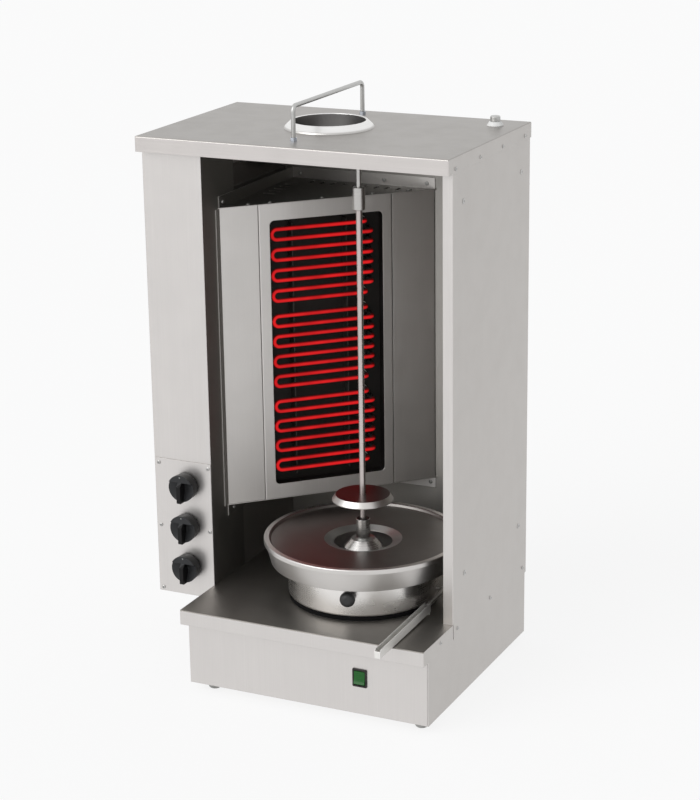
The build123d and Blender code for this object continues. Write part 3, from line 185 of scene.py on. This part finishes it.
def turned_metal(name, colour, centre, roughness=0.28, ring=1600.0, anisotropy=0.5, contrast=0.06,
                 outer_tone=None, steep=0.0):
    """Turned or spun stainless: concentric tool marks about an upright axis, faint clouds, and
    edges lightened in colour as a painted highlight. The outer tone gives two radii and the
    colour that the metal goes over to between them and beyond, and steep leans the shading
    towards the axis, as the small dishes of a spun wall do."""
    m = Finish(name)
    radius = m.axis_distance(*centre)
    rings = m.add("ShaderNodeTexNoise", {"noise_dimensions": "1D"},
                  {"W": radius, "Scale": ring, "Detail": 4.0, "Roughness": 0.65})
    place = m.place()
    levels = m.noise(m.stretched(place, (6.0, 6.0, ring)), 1.0, 2.0, 0.5)
    marks = m.math("MULTIPLY", m.math("ADD", rings, levels), 0.5)
    clouds = m.noise(place, 16.0, 3.0, 0.6)
    soft, rim = m.rounded(0.6 * mm)
    tone = m.mix(m.spread(marks, 0.35, 0.65, 0.0, 1.0), shade(colour, 1.0 - contrast),
                 shade(colour, 1.0 + contrast))
    tone = m.mix(m.spread(clouds, 0.4, 0.7, 0.0, 0.4), tone, shade(colour, 0.93))
    # Painted highlight: lighter colour along edges.
    tone = m.mix(m.math("MULTIPLY", rim, 0.12), tone, rgb(0.85, 0.845, 0.835))
    if outer_tone:
        tone = m.mix(m.spread(radius, outer_tone[0], outer_tone[1], 0.0, 1.0), tone, outer_tone[2])
    worn = m.math("ADD", m.spread(marks, 0.35, 0.65, -0.04, 0.04), m.spread(clouds, 0.4, 0.7, 0.0, 0.05))
    tangent = m.add("ShaderNodeTangent", {"direction_type": "RADIAL", "axis": "Z"})
    normal = m.bump(marks, 0.00002, 2.5 * contrast, soft)
    if steep:
        flat = m.stretched(place, (1.0, 1.0, 0.0))
        inward = m.add("ShaderNodeVectorMath", {"operation": "SUBTRACT"}, {0: (*centre, 0.0), 1: flat})
        inward = m.add("ShaderNodeVectorMath", {"operation": "NORMALIZE"}, {0: inward})
        lean = m.stretched(inward, (steep, steep, 0.0))
        normal = m.add("ShaderNodeVectorMath", {"operation": "ADD"}, {0: normal, 1: lean})
        normal = m.add("ShaderNodeVectorMath", {"operation": "NORMALIZE"}, {0: normal})
    m.set(Base_Color=tone, Metallic=1.0, Roughness=m.math("ADD", worn, roughness),
          Anisotropic=anisotropy, Tangent=tangent, Normal=normal)
    return m.data


def moulded(name, colour, roughness=0.42, grain=2400.0, depth=0.00006, gloss=0.5, metallic=0.0):
    """Moulded plastic or rubber: fine spark-eroded grain, and random lighter blotches of painted sheen,
    which are also a little rougher.
    """
    m = Finish(name)
    place = m.place()
    pits = m.noise(place, grain, 3.0, 0.6)
    painted_sheen = m.noise(place, 60.0, 3.0, 0.5)
    # Painted sheen: lighter colour in random blotches.
    tone = m.mix(m.spread(painted_sheen, 0.35, 0.7, 0.0, 1.0), shade(colour, 0.88), shade(colour, 1.12))
    m.set(Base_Color=tone, Roughness=m.math("ADD", m.spread(painted_sheen, 0.3, 0.7, -0.07, 0.06), roughness),
          Normal=m.bump(pits, depth, 0.5, m.rounded(0.5 * mm)[0]), Specular_IOR_Level=gloss,
          Metallic=metallic)
    return m.data


def cast_paint(name, colour):
    """Painted casting of the drive: orange-peel paint."""
    m = Finish(name)
    place = m.place()
    peel = m.noise(place, 700.0, 2.0, 0.5)
    dust = m.noise(place, 40.0, 4.0, 0.6)
    tone = m.mix(m.spread(dust, 0.45, 0.75, 0.0, 0.6), colour, shade(colour, 1.4))
    m.set(Base_Color=tone, Metallic=0.0, Roughness=m.spread(dust, 0.3, 0.7, 0.38, 0.6),
          Normal=m.bump(peel, 0.0002, 0.4))
    return m.data


def fibre(name, colour):
    """Pressed ceramic fibre: matt, with short felted fibres."""
    m = Finish(name)
    place = m.place()
    felt = m.noise(m.stretched(place, (900.0, 300.0, 900.0)), 1.0, 4.0, 0.7)
    tone = m.mix(felt, shade(colour, 0.8), shade(colour, 1.05))
    m.set(Base_Color=tone, Roughness=0.95, Normal=m.bump(felt, 0.0004, 0.6))
    return m.data


HOT_DEPTH = 13.0 * mm           # the elements glow as far behind the heater's face as this
COLD_DEPTH = 20.0 * mm          # and are dark from here on


def glowing(name, colour, core, cold):
    """Sheathed heating tube: red hot, with its glow weakened as painted shade on the sides turned
    away from the meat, dark where it has passed through the reflector, with hotter and cooler
    stretches and an oxide skin."""
    m = Finish(name)
    place = m.place()
    heat = m.noise(place, 26.0, 2.0, 0.5)
    scale_marks = m.noise(place, 900.0, 3.0, 0.6)
    inward = (-heater_facing[0], -heater_facing[1], 0.0)
    along = m.add("ShaderNodeVectorMath", {"operation": "DOT_PRODUCT"}, {0: place, 1: inward}, out="Value")
    depth = m.math("ADD", along, heater_offset)
    hot = m.spread(depth, HOT_DEPTH, COLD_DEPTH, 1.0, 0.0)
    normal = m.add("ShaderNodeNewGeometry", out="Normal")
    facing = m.add("ShaderNodeVectorMath", {"operation": "DOT_PRODUCT"}, {0: normal, 1: heater_facing},
                   out="Value")
    glow = m.mix(m.spread(heat, 0.35, 0.65, 0.0, 1.0), colour, core)
    glow = m.mix(m.spread(scale_marks, 0.5, 0.75, 0.0, 0.25), glow, shade(colour, 0.6))
    # Painted shade: the glow weakens on the sides of the tube turned away from the meat.
    m.set(Base_Color=m.mix(hot, cold, rgb(0.05, 0.004, 0.004)), Roughness=0.75, Specular_IOR_Level=0.15,
          Emission_Color=glow,
          Emission_Strength=m.math("MULTIPLY", m.spread(facing, 0.5, 0.97, 0.06, 1.0), hot),
          Normal=m.bump(scale_marks, 0.0001, 0.4))
    return m.data


STEEL = rgb(0.645, 0.621, 0.606)
# Painted shade: the lip, side and roof-top steels are darker copies of the front's steel, for faces turned
# from the light.
LIP_SHADED_STEEL = rgb(0.605, 0.576, 0.56)
SIDE_SHADED_STEEL = rgb(0.513, 0.492, 0.473)
ROOF_TOP_SHADED_STEEL = rgb(0.355, 0.339, 0.322)
# Painted shade: the steels inside the cooking space and on its back wall are darkened copies, for the
# shade that falls there.
CAVITY_SHADE = rgb(0.24, 0.232, 0.216)
CAVITY_BACK_SHADE = rgb(0.36, 0.345, 0.325)
# Painted light: the heater's steel is a lighter copy of the front's steel, lifted against the dark cooking
# space it reflects.
HEATER_LIT_STEEL = rgb(0.69, 0.668, 0.648)
PAN_STEEL = rgb(0.63, 0.61, 0.592)
SPIT = (spit_x, spit_y)
FLUE = (flue_x, flue_y)

finishes = {
    "front": brushed_sheet("front_steel", STEEL),
    "side": brushed_sheet("side_shaded_steel", SIDE_SHADED_STEEL),
    "roof": brushed_sheet("roof_steel", ROOF_TOP_SHADED_STEEL, grain="x", fold=0.4),
    "lip": brushed_sheet("lip_shaded_steel", LIP_SHADED_STEEL, grain="x", fold=0.4),
    "plate": brushed_sheet("plate_steel", STEEL, fold=0.3, edge=0.3),
    # Painted shade: darkened steels for the cooking space and its back wall.
    "cavity": brushed_sheet("cavity_shade_steel", CAVITY_SHADE, roughness=0.45, edge=0.6),
    "cavity_back": brushed_sheet("cavity_back_shade_steel", CAVITY_BACK_SHADE, roughness=0.5, edge=0.6),
    # Painted shade and reflection: the work tray's top is a dark copy of the steel, standing for the dark
    # cooking space it reflects.
    "tray": brushed_sheet("tray_top_shade_steel", rgb(0.235, 0.222, 0.205), grain="x", roughness=0.46, edge=0.3),
    "heater": brushed_sheet("heater_steel", HEATER_LIT_STEEL, roughness=0.47),
    "reflector": brushed_sheet("reflector_steel", rgb(0.056, 0.052, 0.049), roughness=0.62, edge=0.0),
    # Painted light: the combs are a lighter copy of the reflector's steel, making up for the shade they
    # stand in.
    "comb": brushed_sheet("comb_lit_steel", rgb(0.085, 0.08, 0.075), roughness=0.7, edge=0.0),
    "gutter": brushed_sheet("gutter_steel", rgb(0.74, 0.73, 0.71), grain="y", roughness=0.6),
    "handle": brushed_sheet("handle_steel", rgb(0.52, 0.52, 0.51), grain="y", roughness=0.38, edge=0.0),
    "flue": turned_metal("flue_steel", rgb(0.84, 0.835, 0.825), FLUE, 0.32,
                         outer_tone=(70.0 * mm, 72.0 * mm, rgb(0.50, 0.49, 0.475))),
    # Painted shade: the flue's inside is a darkened copy of its steel.
    "flue_inside": turned_metal("flue_inside_shade_steel", rgb(0.20, 0.195, 0.19), FLUE, 0.4, anisotropy=0.0),
    "pan": turned_metal("pan_steel", PAN_STEEL, SPIT, 0.35, 2600.0, 0.0, 0.015),
    # Painted light: the drum is a lighter copy of the pan's steel, lifted against the dark tray it
    # reflects.
    "drum": turned_metal("drum_steel", rgb(0.84, 0.82, 0.80), SPIT, 0.30, 2600.0, 0.0, 0.01),
    # Painted shade and reflection: the pan's floor, its well and the disc's top are darker copies of the
    # pan's steel, standing for the dark cooking space they reflect.
    "pan_floor": turned_metal("pan_floor_shade_steel", rgb(0.225, 0.215, 0.205), SPIT, 0.36, 900.0, 0.1, 0.05),
    "well": turned_metal("pan_well_shade_steel", rgb(0.42, 0.43, 0.42), SPIT, 0.4, 900.0, 0.0, 0.04,
                         steep=0.6),
    "disc_top": turned_metal("disc_top_shade_steel", rgb(0.17, 0.145, 0.14), SPIT, 0.36, 900.0, 0.1, 0.07),
    "socket_top": turned_metal("socket_top_steel", rgb(0.07, 0.068, 0.066), SPIT, 0.5, 900.0, 0.0, 0.05),
    "hub": turned_metal("hub_steel", rgb(0.57, 0.555, 0.54), SPIT, 0.24, 2200.0, 0.2, 0.04),
    "shaft": turned_metal("shaft_steel", rgb(0.57, 0.52, 0.505), SPIT, 0.28, 2200.0, 0.3, 0.04),
    "sleeve": turned_metal("sleeve_steel", rgb(0.53, 0.52, 0.505), SPIT, 0.28, 2200.0, 0.3, 0.04),
    "bronze": turned_metal("bearing_bronze", rgb(0.50, 0.34, 0.16), SPIT, 0.4),
    "screw": moulded("screw_steel", rgb(0.50, 0.495, 0.485), 0.34, 4000.0, 0.00002, 0.5, 1.0),
    "nut": moulded("nut_zinc", rgb(0.40, 0.43, 0.48), 0.32, 4000.0, 0.00002, 0.5, 1.0),
    "element": glowing("element_glow", rgb(0.52, 0.008, 0.010), rgb(0.72, 0.012, 0.014),
                       rgb(0.04, 0.036, 0.034)),
    "fibre": fibre("ceramic_fibre", rgb(0.75, 0.72, 0.66)),
    "rubber": moulded("seat_rubber", rgb(0.006, 0.006, 0.006), 0.8, gloss=0.08),
    "foot": moulded("foot_rubber", rgb(0.33, 0.33, 0.32), 0.6),
    "casting": cast_paint("drive_casting", rgb(0.10, 0.105, 0.11)),
    "bracket": brushed_sheet("bracket_zinc", rgb(0.42, 0.43, 0.44), grain="x"),
    "knob": moulded("knob_phenolic", rgb(0.007, 0.0068, 0.007), 0.42, gloss=0.16),
    # Painted light: the knobs' front faces are a lighter copy of the knob phenolic.
    "knob_face": moulded("knob_face_lit_phenolic", rgb(0.024, 0.0245, 0.026), 0.5, gloss=0.25),
    "clamp": moulded("clamp_phenolic", rgb(0.032, 0.032, 0.032), 0.45, gloss=0.25),
    "housing": moulded("housing_plastic", rgb(0.016, 0.013, 0.012), 0.45, gloss=0.3),
    "rocker": moulded("rocker_plastic", rgb(0.012, 0.095, 0.016), 0.25, 3000.0, 0.00002, 0.25),
    "gland": moulded("gland_nylon", rgb(0.72, 0.72, 0.71), 0.45),
    "dot": moulded("knob_mark_paint", rgb(0.24, 0.24, 0.235), 0.5),
}

finish_of = {
    "base_pan": "front", "column_wrap": "front", "control_plate": "plate",
    # Painted shade: the side panel and back cover take the shaded side steel, the roof cap the shaded lip
    # steel.
    "right_side_panel": "side", "back_cover": "side", "roof_cap": "lip",
    "work_tray": "front", "column_floor": "front",
    # Painted shade: the column's inner wall and liner take the darkened cavity steels.
    "column_inner_wall": "cavity", "column_liner": "cavity_back",
    "flue_collar": "flue", "roof_gland": "handle", "roof_handle": "handle", "handle_nuts": "nut",
    # Painted light: the heater's plates, cheeks and window panel take the lighter heater steel.
    "heater_top_plate": "heater", "heater_bottom_plate": "heater", "heater_cheek_left": "heater",
    "heater_cheek_right": "heater", "heater_window_panel": "heater",
    # Painted light: the combs take the lighter comb steel.
    "reflector_box": "reflector", "element_combs": "comb",
    "element_upper": "element", "element_middle": "element", "element_lower": "element",
    "insulation_board": "fibre", "element_insulators": "fibre",
    # Painted light: the drum takes the lighter drum steel.
    "grease_drum": "drum", "drum_spout": "pan", "drip_pan": "pan", "pan_spigot": "pan",
    "grease_gutter": "gutter",
    "drum_seat_ring": "rubber", "feet": "foot",
    "drive_shaft": "shaft", "skewer_hub": "hub", "skewer_rod": "shaft", "disc_stop_pin": "shaft",
    "top_sleeve": "sleeve", "top_pin": "sleeve", "meat_disc": "pan",
    "shaft_bearing": "bronze", "gearbox": "casting", "motor": "casting", "motor_bracket": "bracket",
    "motor_screws": "nut", "cabinet_screws": "screw", "side_screws": "screw",
    "knob_upper": "knob", "knob_middle": "knob", "knob_lower": "knob", "clamp_knob": "clamp",
    "spindle_upper": "screw", "spindle_middle": "screw", "spindle_lower": "screw",
    "regulator_upper": "housing", "regulator_middle": "housing", "regulator_lower": "housing",
    "terminal_block": "housing", "switch_housing": "housing", "switch_rocker": "rocker",
}


def dress(obj, finish):
    obj.data.materials.clear()
    obj.data.materials.append(finishes[finish])


for node_name, obj in nodes.items():
    dress(obj, finish_of[node_name])


def dress_faces(node_name, finish, chosen):
    """Give another finish to the faces of a node that chosen(centre, normal) picks."""
    obj = nodes[node_name]
    obj.data.materials.append(finishes[finish])
    index = len(obj.data.materials) - 1
    for face in obj.data.polygons:
        if chosen(face.center, face.normal):
            face.material_index = index


def spit_radius(c):
    return math.hypot(c.x - spit_x, c.y - spit_y)


skin = 2.5 * mm                 # thicker than any sheet
rim_radius = pan_high.x - spit_x
floor_radius = rim_radius - 8.6 * mm        # where the pan's floor meets its rolled rim
well_radius = 64.0 * mm
socket_radius = 12.0 * mm
gland_flange = 6.6 * mm
plate_skin = plate_low.z + skin
# Painted shade: the roof's top and right side take the shaded roof-top and side steels.
dress_faces("roof_cap", "roof", lambda c, n: n.z > 0.3 and c.z > roof_high.z - skin)
dress_faces("roof_cap", "side", lambda c, n: n.x > 0.9 and c.x > roof_high.x - skin)
# Painted shade: the roof's underside takes the darkened back-wall steel.
dress_faces("roof_cap", "cavity_back",
            lambda c, n: n.z < -0.5 and roof_low.z + skin < c.z < roof_high.z - 0.5 * mm)
# Painted shade and reflection: the tray's top takes the dark tray steel.
dress_faces("work_tray", "tray", lambda c, n: n.z > 0.08 and c.z > tray_high.z - skin)
# Painted shade: the tray's right side takes the shaded side steel.
dress_faces("work_tray", "side", lambda c, n: n.x > 0.9)
# Painted light: the side panel's front return takes the lit front steel.
dress_faces("right_side_panel", "front", lambda c, n: n.y < -0.5)
# Painted shade: the side panel's inside above the tray takes the darkened cavity steel.
dress_faces("right_side_panel", "cavity", lambda c, n: n.x < -0.5 and c.z > tray_high.z)
# Painted shade: the back cover's inner face takes the darkened back-wall steel.
dress_faces("back_cover", "cavity_back", lambda c, n: n.y < -0.5 and c.z > tray_high.z)
# Painted shade: the column's left side takes the shaded side steel.
dress_faces("column_wrap", "side", lambda c, n: n.x < -0.9 and c.x < column_low.x + skin)
# Painted shade: the heater top plate's front edge takes the shaded side steel.
dress_faces("heater_top_plate", "side", lambda c, n: n.y < -0.9)
# Painted shade: the heater top plate's right-facing faces and its lowest level faces take the darkened
# cavity steel.
dress_faces("heater_top_plate", "cavity",
            lambda c, n: n.x > 0.9 or abs(n.z) > 0.9 and c.z < plate_skin)
# Painted shade and reflection: the pan's floor and its well take the darkened pan steels.
dress_faces("drip_pan", "pan_floor", lambda c, n: n.z > 0.15 and spit_radius(c) < floor_radius)
dress_faces("drip_pan", "well", lambda c, n: n.z > 0.3 and spit_radius(c) < well_radius)
dress_faces("skewer_hub", "socket_top", lambda c, n: n.z > 0.9 and spit_radius(c) < socket_radius)
# Painted shade and reflection: the hub's top round the socket takes the darkened well steel.
dress_faces("skewer_hub", "well", lambda c, n: n.z > 0.9 and spit_radius(c) > socket_radius)
# Painted shade: the heater bottom plate's right-facing and level faces take the darkened cavity steel.
dress_faces("heater_bottom_plate", "cavity", lambda c, n: n.x > 0.9 or abs(n.z) > 0.9)
# Painted shade: the left cheek's side faces take the darkened back-wall steel.
dress_faces("heater_cheek_left", "cavity_back", lambda c, n: abs(n.x) > 0.9)
# Painted shade: the control plate's top edge takes the dark tray steel in place of its highlight.
dress_faces("control_plate", "tray", lambda c, n: n.z > 0.9)
# Painted shade: the flue collar's inner faces take the darkened flue steel.
dress_faces("flue_collar", "flue_inside",
            lambda c, n: (c.x - flue_x) * n.x + (c.y - flue_y) * n.y < 0.0 and c.z < flue_high.z - skin)
# Painted light: each knob's front faces behind its grip take the lighter face phenolic.
for knob in ("knob_upper", "knob_middle", "knob_lower"):
    grip_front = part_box(knob)[0].y + skin
    dress_faces(knob, "knob_face", lambda c, n: n.y < -0.2 and c.y > grip_front)
# Painted shade and reflection: the disc's top takes the darkened disc steel.
dress_faces("meat_disc", "disc_top", lambda c, n: n.z > 0.9)
dress_faces("roof_gland", "gland", lambda c, n: c.z < roof_high.z + gland_flange)


# ---------------------------------------------------------------- screw heads and knob marks
def add_ring(shape, radius, level, count):
    return [shape.verts.new((radius * math.cos(2 * math.pi * i / count),
                             radius * math.sin(2 * math.pi * i / count), level)) for i in range(count)]


def join_rings(shape, lower, upper):
    count = len(lower)
    for i in range(count):
        shape.faces.new((lower[i], lower[(i + 1) % count], upper[(i + 1) % count], upper[i]))


CABINET_SPACING, SIDE_SPACING = 11.0 * mm, 16.0 * mm    # less than between any two screws
SHANK_LENGTH = 3.0 * mm
RECESS_TURN = 37.0              # degrees from one screw's recess to the next


def screw_shape(shape, head, rise, shank, length):
    """Pan-head screw with a cross recess, standing on z = 0, head up."""
    count = 24
    profile = [(shank * 0.7, -length), (shank, -length + shank * 0.4), (shank, 0.0), (head, 0.0),
               (head, rise * 0.35), (head * 0.93, rise * 0.65), (head * 0.80, rise * 0.88),
               (head * 0.66, rise)]
    rings = [add_ring(shape, radius, level, count) for radius, level in profile]
    for lower, upper in zip(rings, rings[1:]):
        join_rings(shape, lower, upper)
    shape.faces.new(tuple(reversed(rings[0])))
    arm, half = head * 0.52, head * 0.11
    cross = [(arm, -half), (arm, half), (half, half), (half, arm), (-half, arm), (-half, half),
             (-arm, half), (-arm, -half), (-half, -half), (-half, -arm), (half, -arm), (half, -half)]
    mouth = [shape.verts.new((x, y, rise)) for x, y in cross]
    floor_verts = [shape.verts.new((x * 0.75, y * 0.75, rise * 0.35)) for x, y in cross]
    join_rings(shape, floor_verts, mouth)
    shape.faces.new(floor_verts)
    top = rings[-1]
    border = [shape.edges.get((top[i], top[(i + 1) % count])) for i in range(count)]
    border += [shape.edges.get((mouth[i], mouth[(i + 1) % len(mouth)])) for i in range(len(mouth))]
    bmesh.ops.triangle_fill(shape, edges=border, use_beauty=True)


def screw_seats(node_name, spread):
    """Where the screws of a CAD node stand: (seat, direction of the head, head radius, rise)."""
    groups = []
    for vertex in nodes[node_name].data.vertices:
        for group in groups:
            if (vertex.co - group[0]).length < spread:
                group.append(vertex.co)
                break
        else:
            groups.append([vertex.co])
    seats = []
    for group in groups:
        places = {tuple(round(v, 6) for v in co) for co in group}
        best = None
        for axis in range(3):
            low, high = min(p[axis] for p in places), max(p[axis] for p in places)
            ends = [[p for p in places if abs(p[axis] - end) < 2e-6] for end in (low, high)]
            score = min(len(end) for end in ends)
            if best is None or score > best[0]:
                best = (score, axis, low, high, ends)
        score, axis, low, high, ends = best
        others = [i for i in range(3) if i != axis]
        middle = [(min(p[i] for p in places) + max(p[i] for p in places)) / 2 for i in range(3)]
        widths = [max(math.dist([p[i] for i in others], [middle[i] for i in others]) for p in end)
                  for end in ends]
        sense = 1 if widths[1] > widths[0] else -1
        head_radius = max(math.dist([p[i] for i in others], [middle[i] for i in others]) for p in places)
        wide = [p[axis] for p in places
                if math.dist([p[i] for i in others], [middle[i] for i in others]) > head_radius * 0.97]
        seat_level = min(wide) if sense > 0 else max(wide)
        tip = high if sense > 0 else low
        seat = Vector(middle)
        seat[axis] = seat_level
        direction = Vector((0.0, 0.0, 0.0))
        direction[axis] = sense
        seats.append((seat, direction, head_radius, abs(tip - seat_level)))
    return seats


def make_screws():
    shape = bmesh.new()
    seats = screw_seats("cabinet_screws", CABINET_SPACING) + screw_seats("side_screws", SIDE_SPACING)
    for index, (seat, direction, head, rise) in enumerate(seats):
        one = bmesh.new()
        screw_shape(one, head, rise, head * 0.4, SHANK_LENGTH)
        spin = Matrix.Rotation(math.radians(RECESS_TURN * index), 4, "Z")
        place = Matrix.Translation(seat) @ direction.to_track_quat("Z", "Y").to_matrix().to_4x4() @ spin
        bmesh.ops.transform(one, matrix=place, verts=one.verts)
        part = bpy.data.meshes.new("screw")
        one.to_mesh(part)
        one.free()
        shape.from_mesh(part)
        bpy.data.meshes.remove(part)
    mesh = bpy.data.meshes.new("screw_heads")
    shape.to_mesh(mesh)
    shape.free()
    obj = bpy.data.objects.new("screw_heads", mesh)
    bpy.context.scene.collection.objects.link(obj)
    dress(obj, "screw")
    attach(obj, "cabinet")
    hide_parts("cabinet_screws", "side_screws")


def make_knob_mark(level):
    """Painted dot at the top of a knob's face, which stands behind the front of its grip."""
    low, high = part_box(f"knob_{level}")
    grip_proud, face_radius = 6.0 * mm, (high.x - low.x) / 2
    axis_z = high.z - face_radius
    dot, proud = 1.3 * mm, 0.12 * mm
    shape = bmesh.new()
    rings = [add_ring(shape, radius, level_up, 20)
             for radius, level_up in ((dot, -0.2 * mm), (dot, proud * 0.5), (dot * 0.8, proud))]
    for lower, upper in zip(rings, rings[1:]):
        join_rings(shape, lower, upper)
    shape.faces.new(rings[-1])
    mesh = bpy.data.meshes.new(f"knob_mark_{level}")
    shape.to_mesh(mesh)
    shape.free()
    obj = bpy.data.objects.new(f"knob_mark_{level}", mesh)
    bpy.context.scene.collection.objects.link(obj)
    obj.matrix_world = (Matrix.Translation(((low.x + high.x) / 2, low.y + grip_proud,
                                            axis_z + face_radius * 0.84))
                        @ Matrix.Rotation(math.pi / 2, 4, "X"))
    dress(obj, "dot")
    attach(obj, f"knob_{level}")


make_screws()
for level in ("upper", "middle", "lower"):
    make_knob_mark(level)


# ---------------------------------------------------------------- stage, lights, camera
BACKDROP = 0.973                # linear value of the photograph's pale background


def seen_directly(tree):
    """1 for camera, glossy and transmission rays, 0 for the rays that light the object."""
    path = tree.nodes.new("ShaderNodeLightPath")
    either = tree.nodes.new("ShaderNodeMath")
    either.operation = "MAXIMUM"
    tree.links.new(path.outputs["Is Camera Ray"], either.inputs[0])
    tree.links.new(path.outputs["Is Glossy Ray"], either.inputs[1])
    any_of = tree.nodes.new("ShaderNodeMath")
    any_of.operation = "MAXIMUM"
    tree.links.new(either.outputs[0], any_of.inputs[0])
    tree.links.new(path.outputs["Is Transmission Ray"], any_of.inputs[1])
    return any_of.outputs[0]


def make_world(ambient):
    world = bpy.data.worlds.new("studio")
    bpy.context.scene.world = world
    world.use_nodes = True
    tree = world.node_tree
    tree.nodes.clear()
    lit = tree.nodes.new("ShaderNodeBackground")
    lit.inputs["Color"].default_value = rgb(0.98, 0.99, 1.0)
    lit.inputs["Strength"].default_value = ambient
    seen = tree.nodes.new("ShaderNodeBackground")
    seen.inputs["Color"].default_value = rgb(BACKDROP, BACKDROP, BACKDROP)
    seen.inputs["Strength"].default_value = 1.0
    both = tree.nodes.new("ShaderNodeMixShader")
    out = tree.nodes.new("ShaderNodeOutputWorld")
    tree.links.new(seen_directly(tree), both.inputs[0])
    tree.links.new(lit.outputs[0], both.inputs[1])
    tree.links.new(seen.outputs[0], both.inputs[2])
    tree.links.new(both.outputs[0], out.inputs[0])


def make_floor(half_size, glow_share):
    """Pale floor: diffuse for light, and mostly even white to the eye, so a soft shadow stays."""
    mesh = bpy.data.meshes.new("floor")
    shape = bmesh.new()
    bmesh.ops.create_grid(shape, x_segments=8, y_segments=8, size=half_size)
    shape.to_mesh(mesh)
    shape.free()
    floor = bpy.data.objects.new("floor", mesh)
    bpy.context.scene.collection.objects.link(floor)
    floor.location.z = -0.2 * mm
    material = bpy.data.materials.new("floor_paint")
    material.use_nodes = True
    tree = material.node_tree
    tree.nodes.clear()
    paint = tree.nodes.new("ShaderNodeBsdfDiffuse")
    paint.inputs["Color"].default_value = rgb(0.93, 0.93, 0.93)
    white = tree.nodes.new("ShaderNodeEmission")
    white.inputs["Color"].default_value = rgb(BACKDROP, BACKDROP, BACKDROP)
    share = tree.nodes.new("ShaderNodeMath")
    share.operation = "MULTIPLY"
    share.inputs[1].default_value = glow_share
    tree.links.new(seen_directly(tree), share.inputs[0])
    both = tree.nodes.new("ShaderNodeMixShader")
    out = tree.nodes.new("ShaderNodeOutputMaterial")
    tree.links.new(share.outputs[0], both.inputs[0])
    tree.links.new(paint.outputs[0], both.inputs[1])
    tree.links.new(white.outputs[0], both.inputs[2])
    tree.links.new(both.outputs[0], out.inputs[0])
    mesh.materials.append(material)
    return floor


def add_sun(name, azimuth, elevation, strength, angle):
    """Soft directional lamp. Azimuth 0 shines from the front, positive from the right."""
    lamp = bpy.data.lights.new(name, "SUN")
    lamp.energy = strength
    lamp.angle = math.radians(angle)
    obj = bpy.data.objects.new(name, lamp)
    bpy.context.scene.collection.objects.link(obj)
    a, e = math.radians(azimuth), math.radians(elevation)
    towards = Vector((math.sin(a) * math.cos(e), -math.cos(a) * math.cos(e), math.sin(e)))
    obj.rotation_mode = "QUATERNION"
    obj.rotation_quaternion = towards.to_track_quat("Z", "Y")
    return obj


def make_camera():
    """The photograph's view: 25 degrees to the right of the front, 17 degrees above the level."""
    azimuth, elevation, roll = math.radians(25.58), math.radians(17.24), math.radians(-0.83)
    focal_px, long_side_px, sensor_mm = 2222.8, 800.0, 36.0
    forward = Vector((-math.sin(azimuth) * math.cos(elevation),
                      math.cos(azimuth) * math.cos(elevation), -math.sin(elevation)))
    level = Vector((math.cos(azimuth), math.sin(azimuth), 0.0))
    upright = level.cross(forward)
    right = level * math.cos(roll) + upright * math.sin(roll)
    up = right.cross(forward)
    data = bpy.data.cameras.new("camera")
    data.sensor_fit = "AUTO"
    data.sensor_width = sensor_mm
    data.lens = sensor_mm * focal_px / long_side_px
    data.clip_start, data.clip_end = 0.05, 100.0
    camera = bpy.data.objects.new("camera", data)
    bpy.context.scene.collection.objects.link(camera)
    turn = Matrix((right, up, -forward)).transposed().to_4x4()
    camera.matrix_world = Matrix.Translation((1.5338, -3.0893, 1.5374)) @ turn
    bpy.context.scene.camera = camera


make_world(0.70)
make_floor(40.0, 0.85)
add_sun("key", -28.0, 32.0, 1.5, 50.0)
make_camera()
bpy.context.scene.view_settings.view_transform = "Standard"
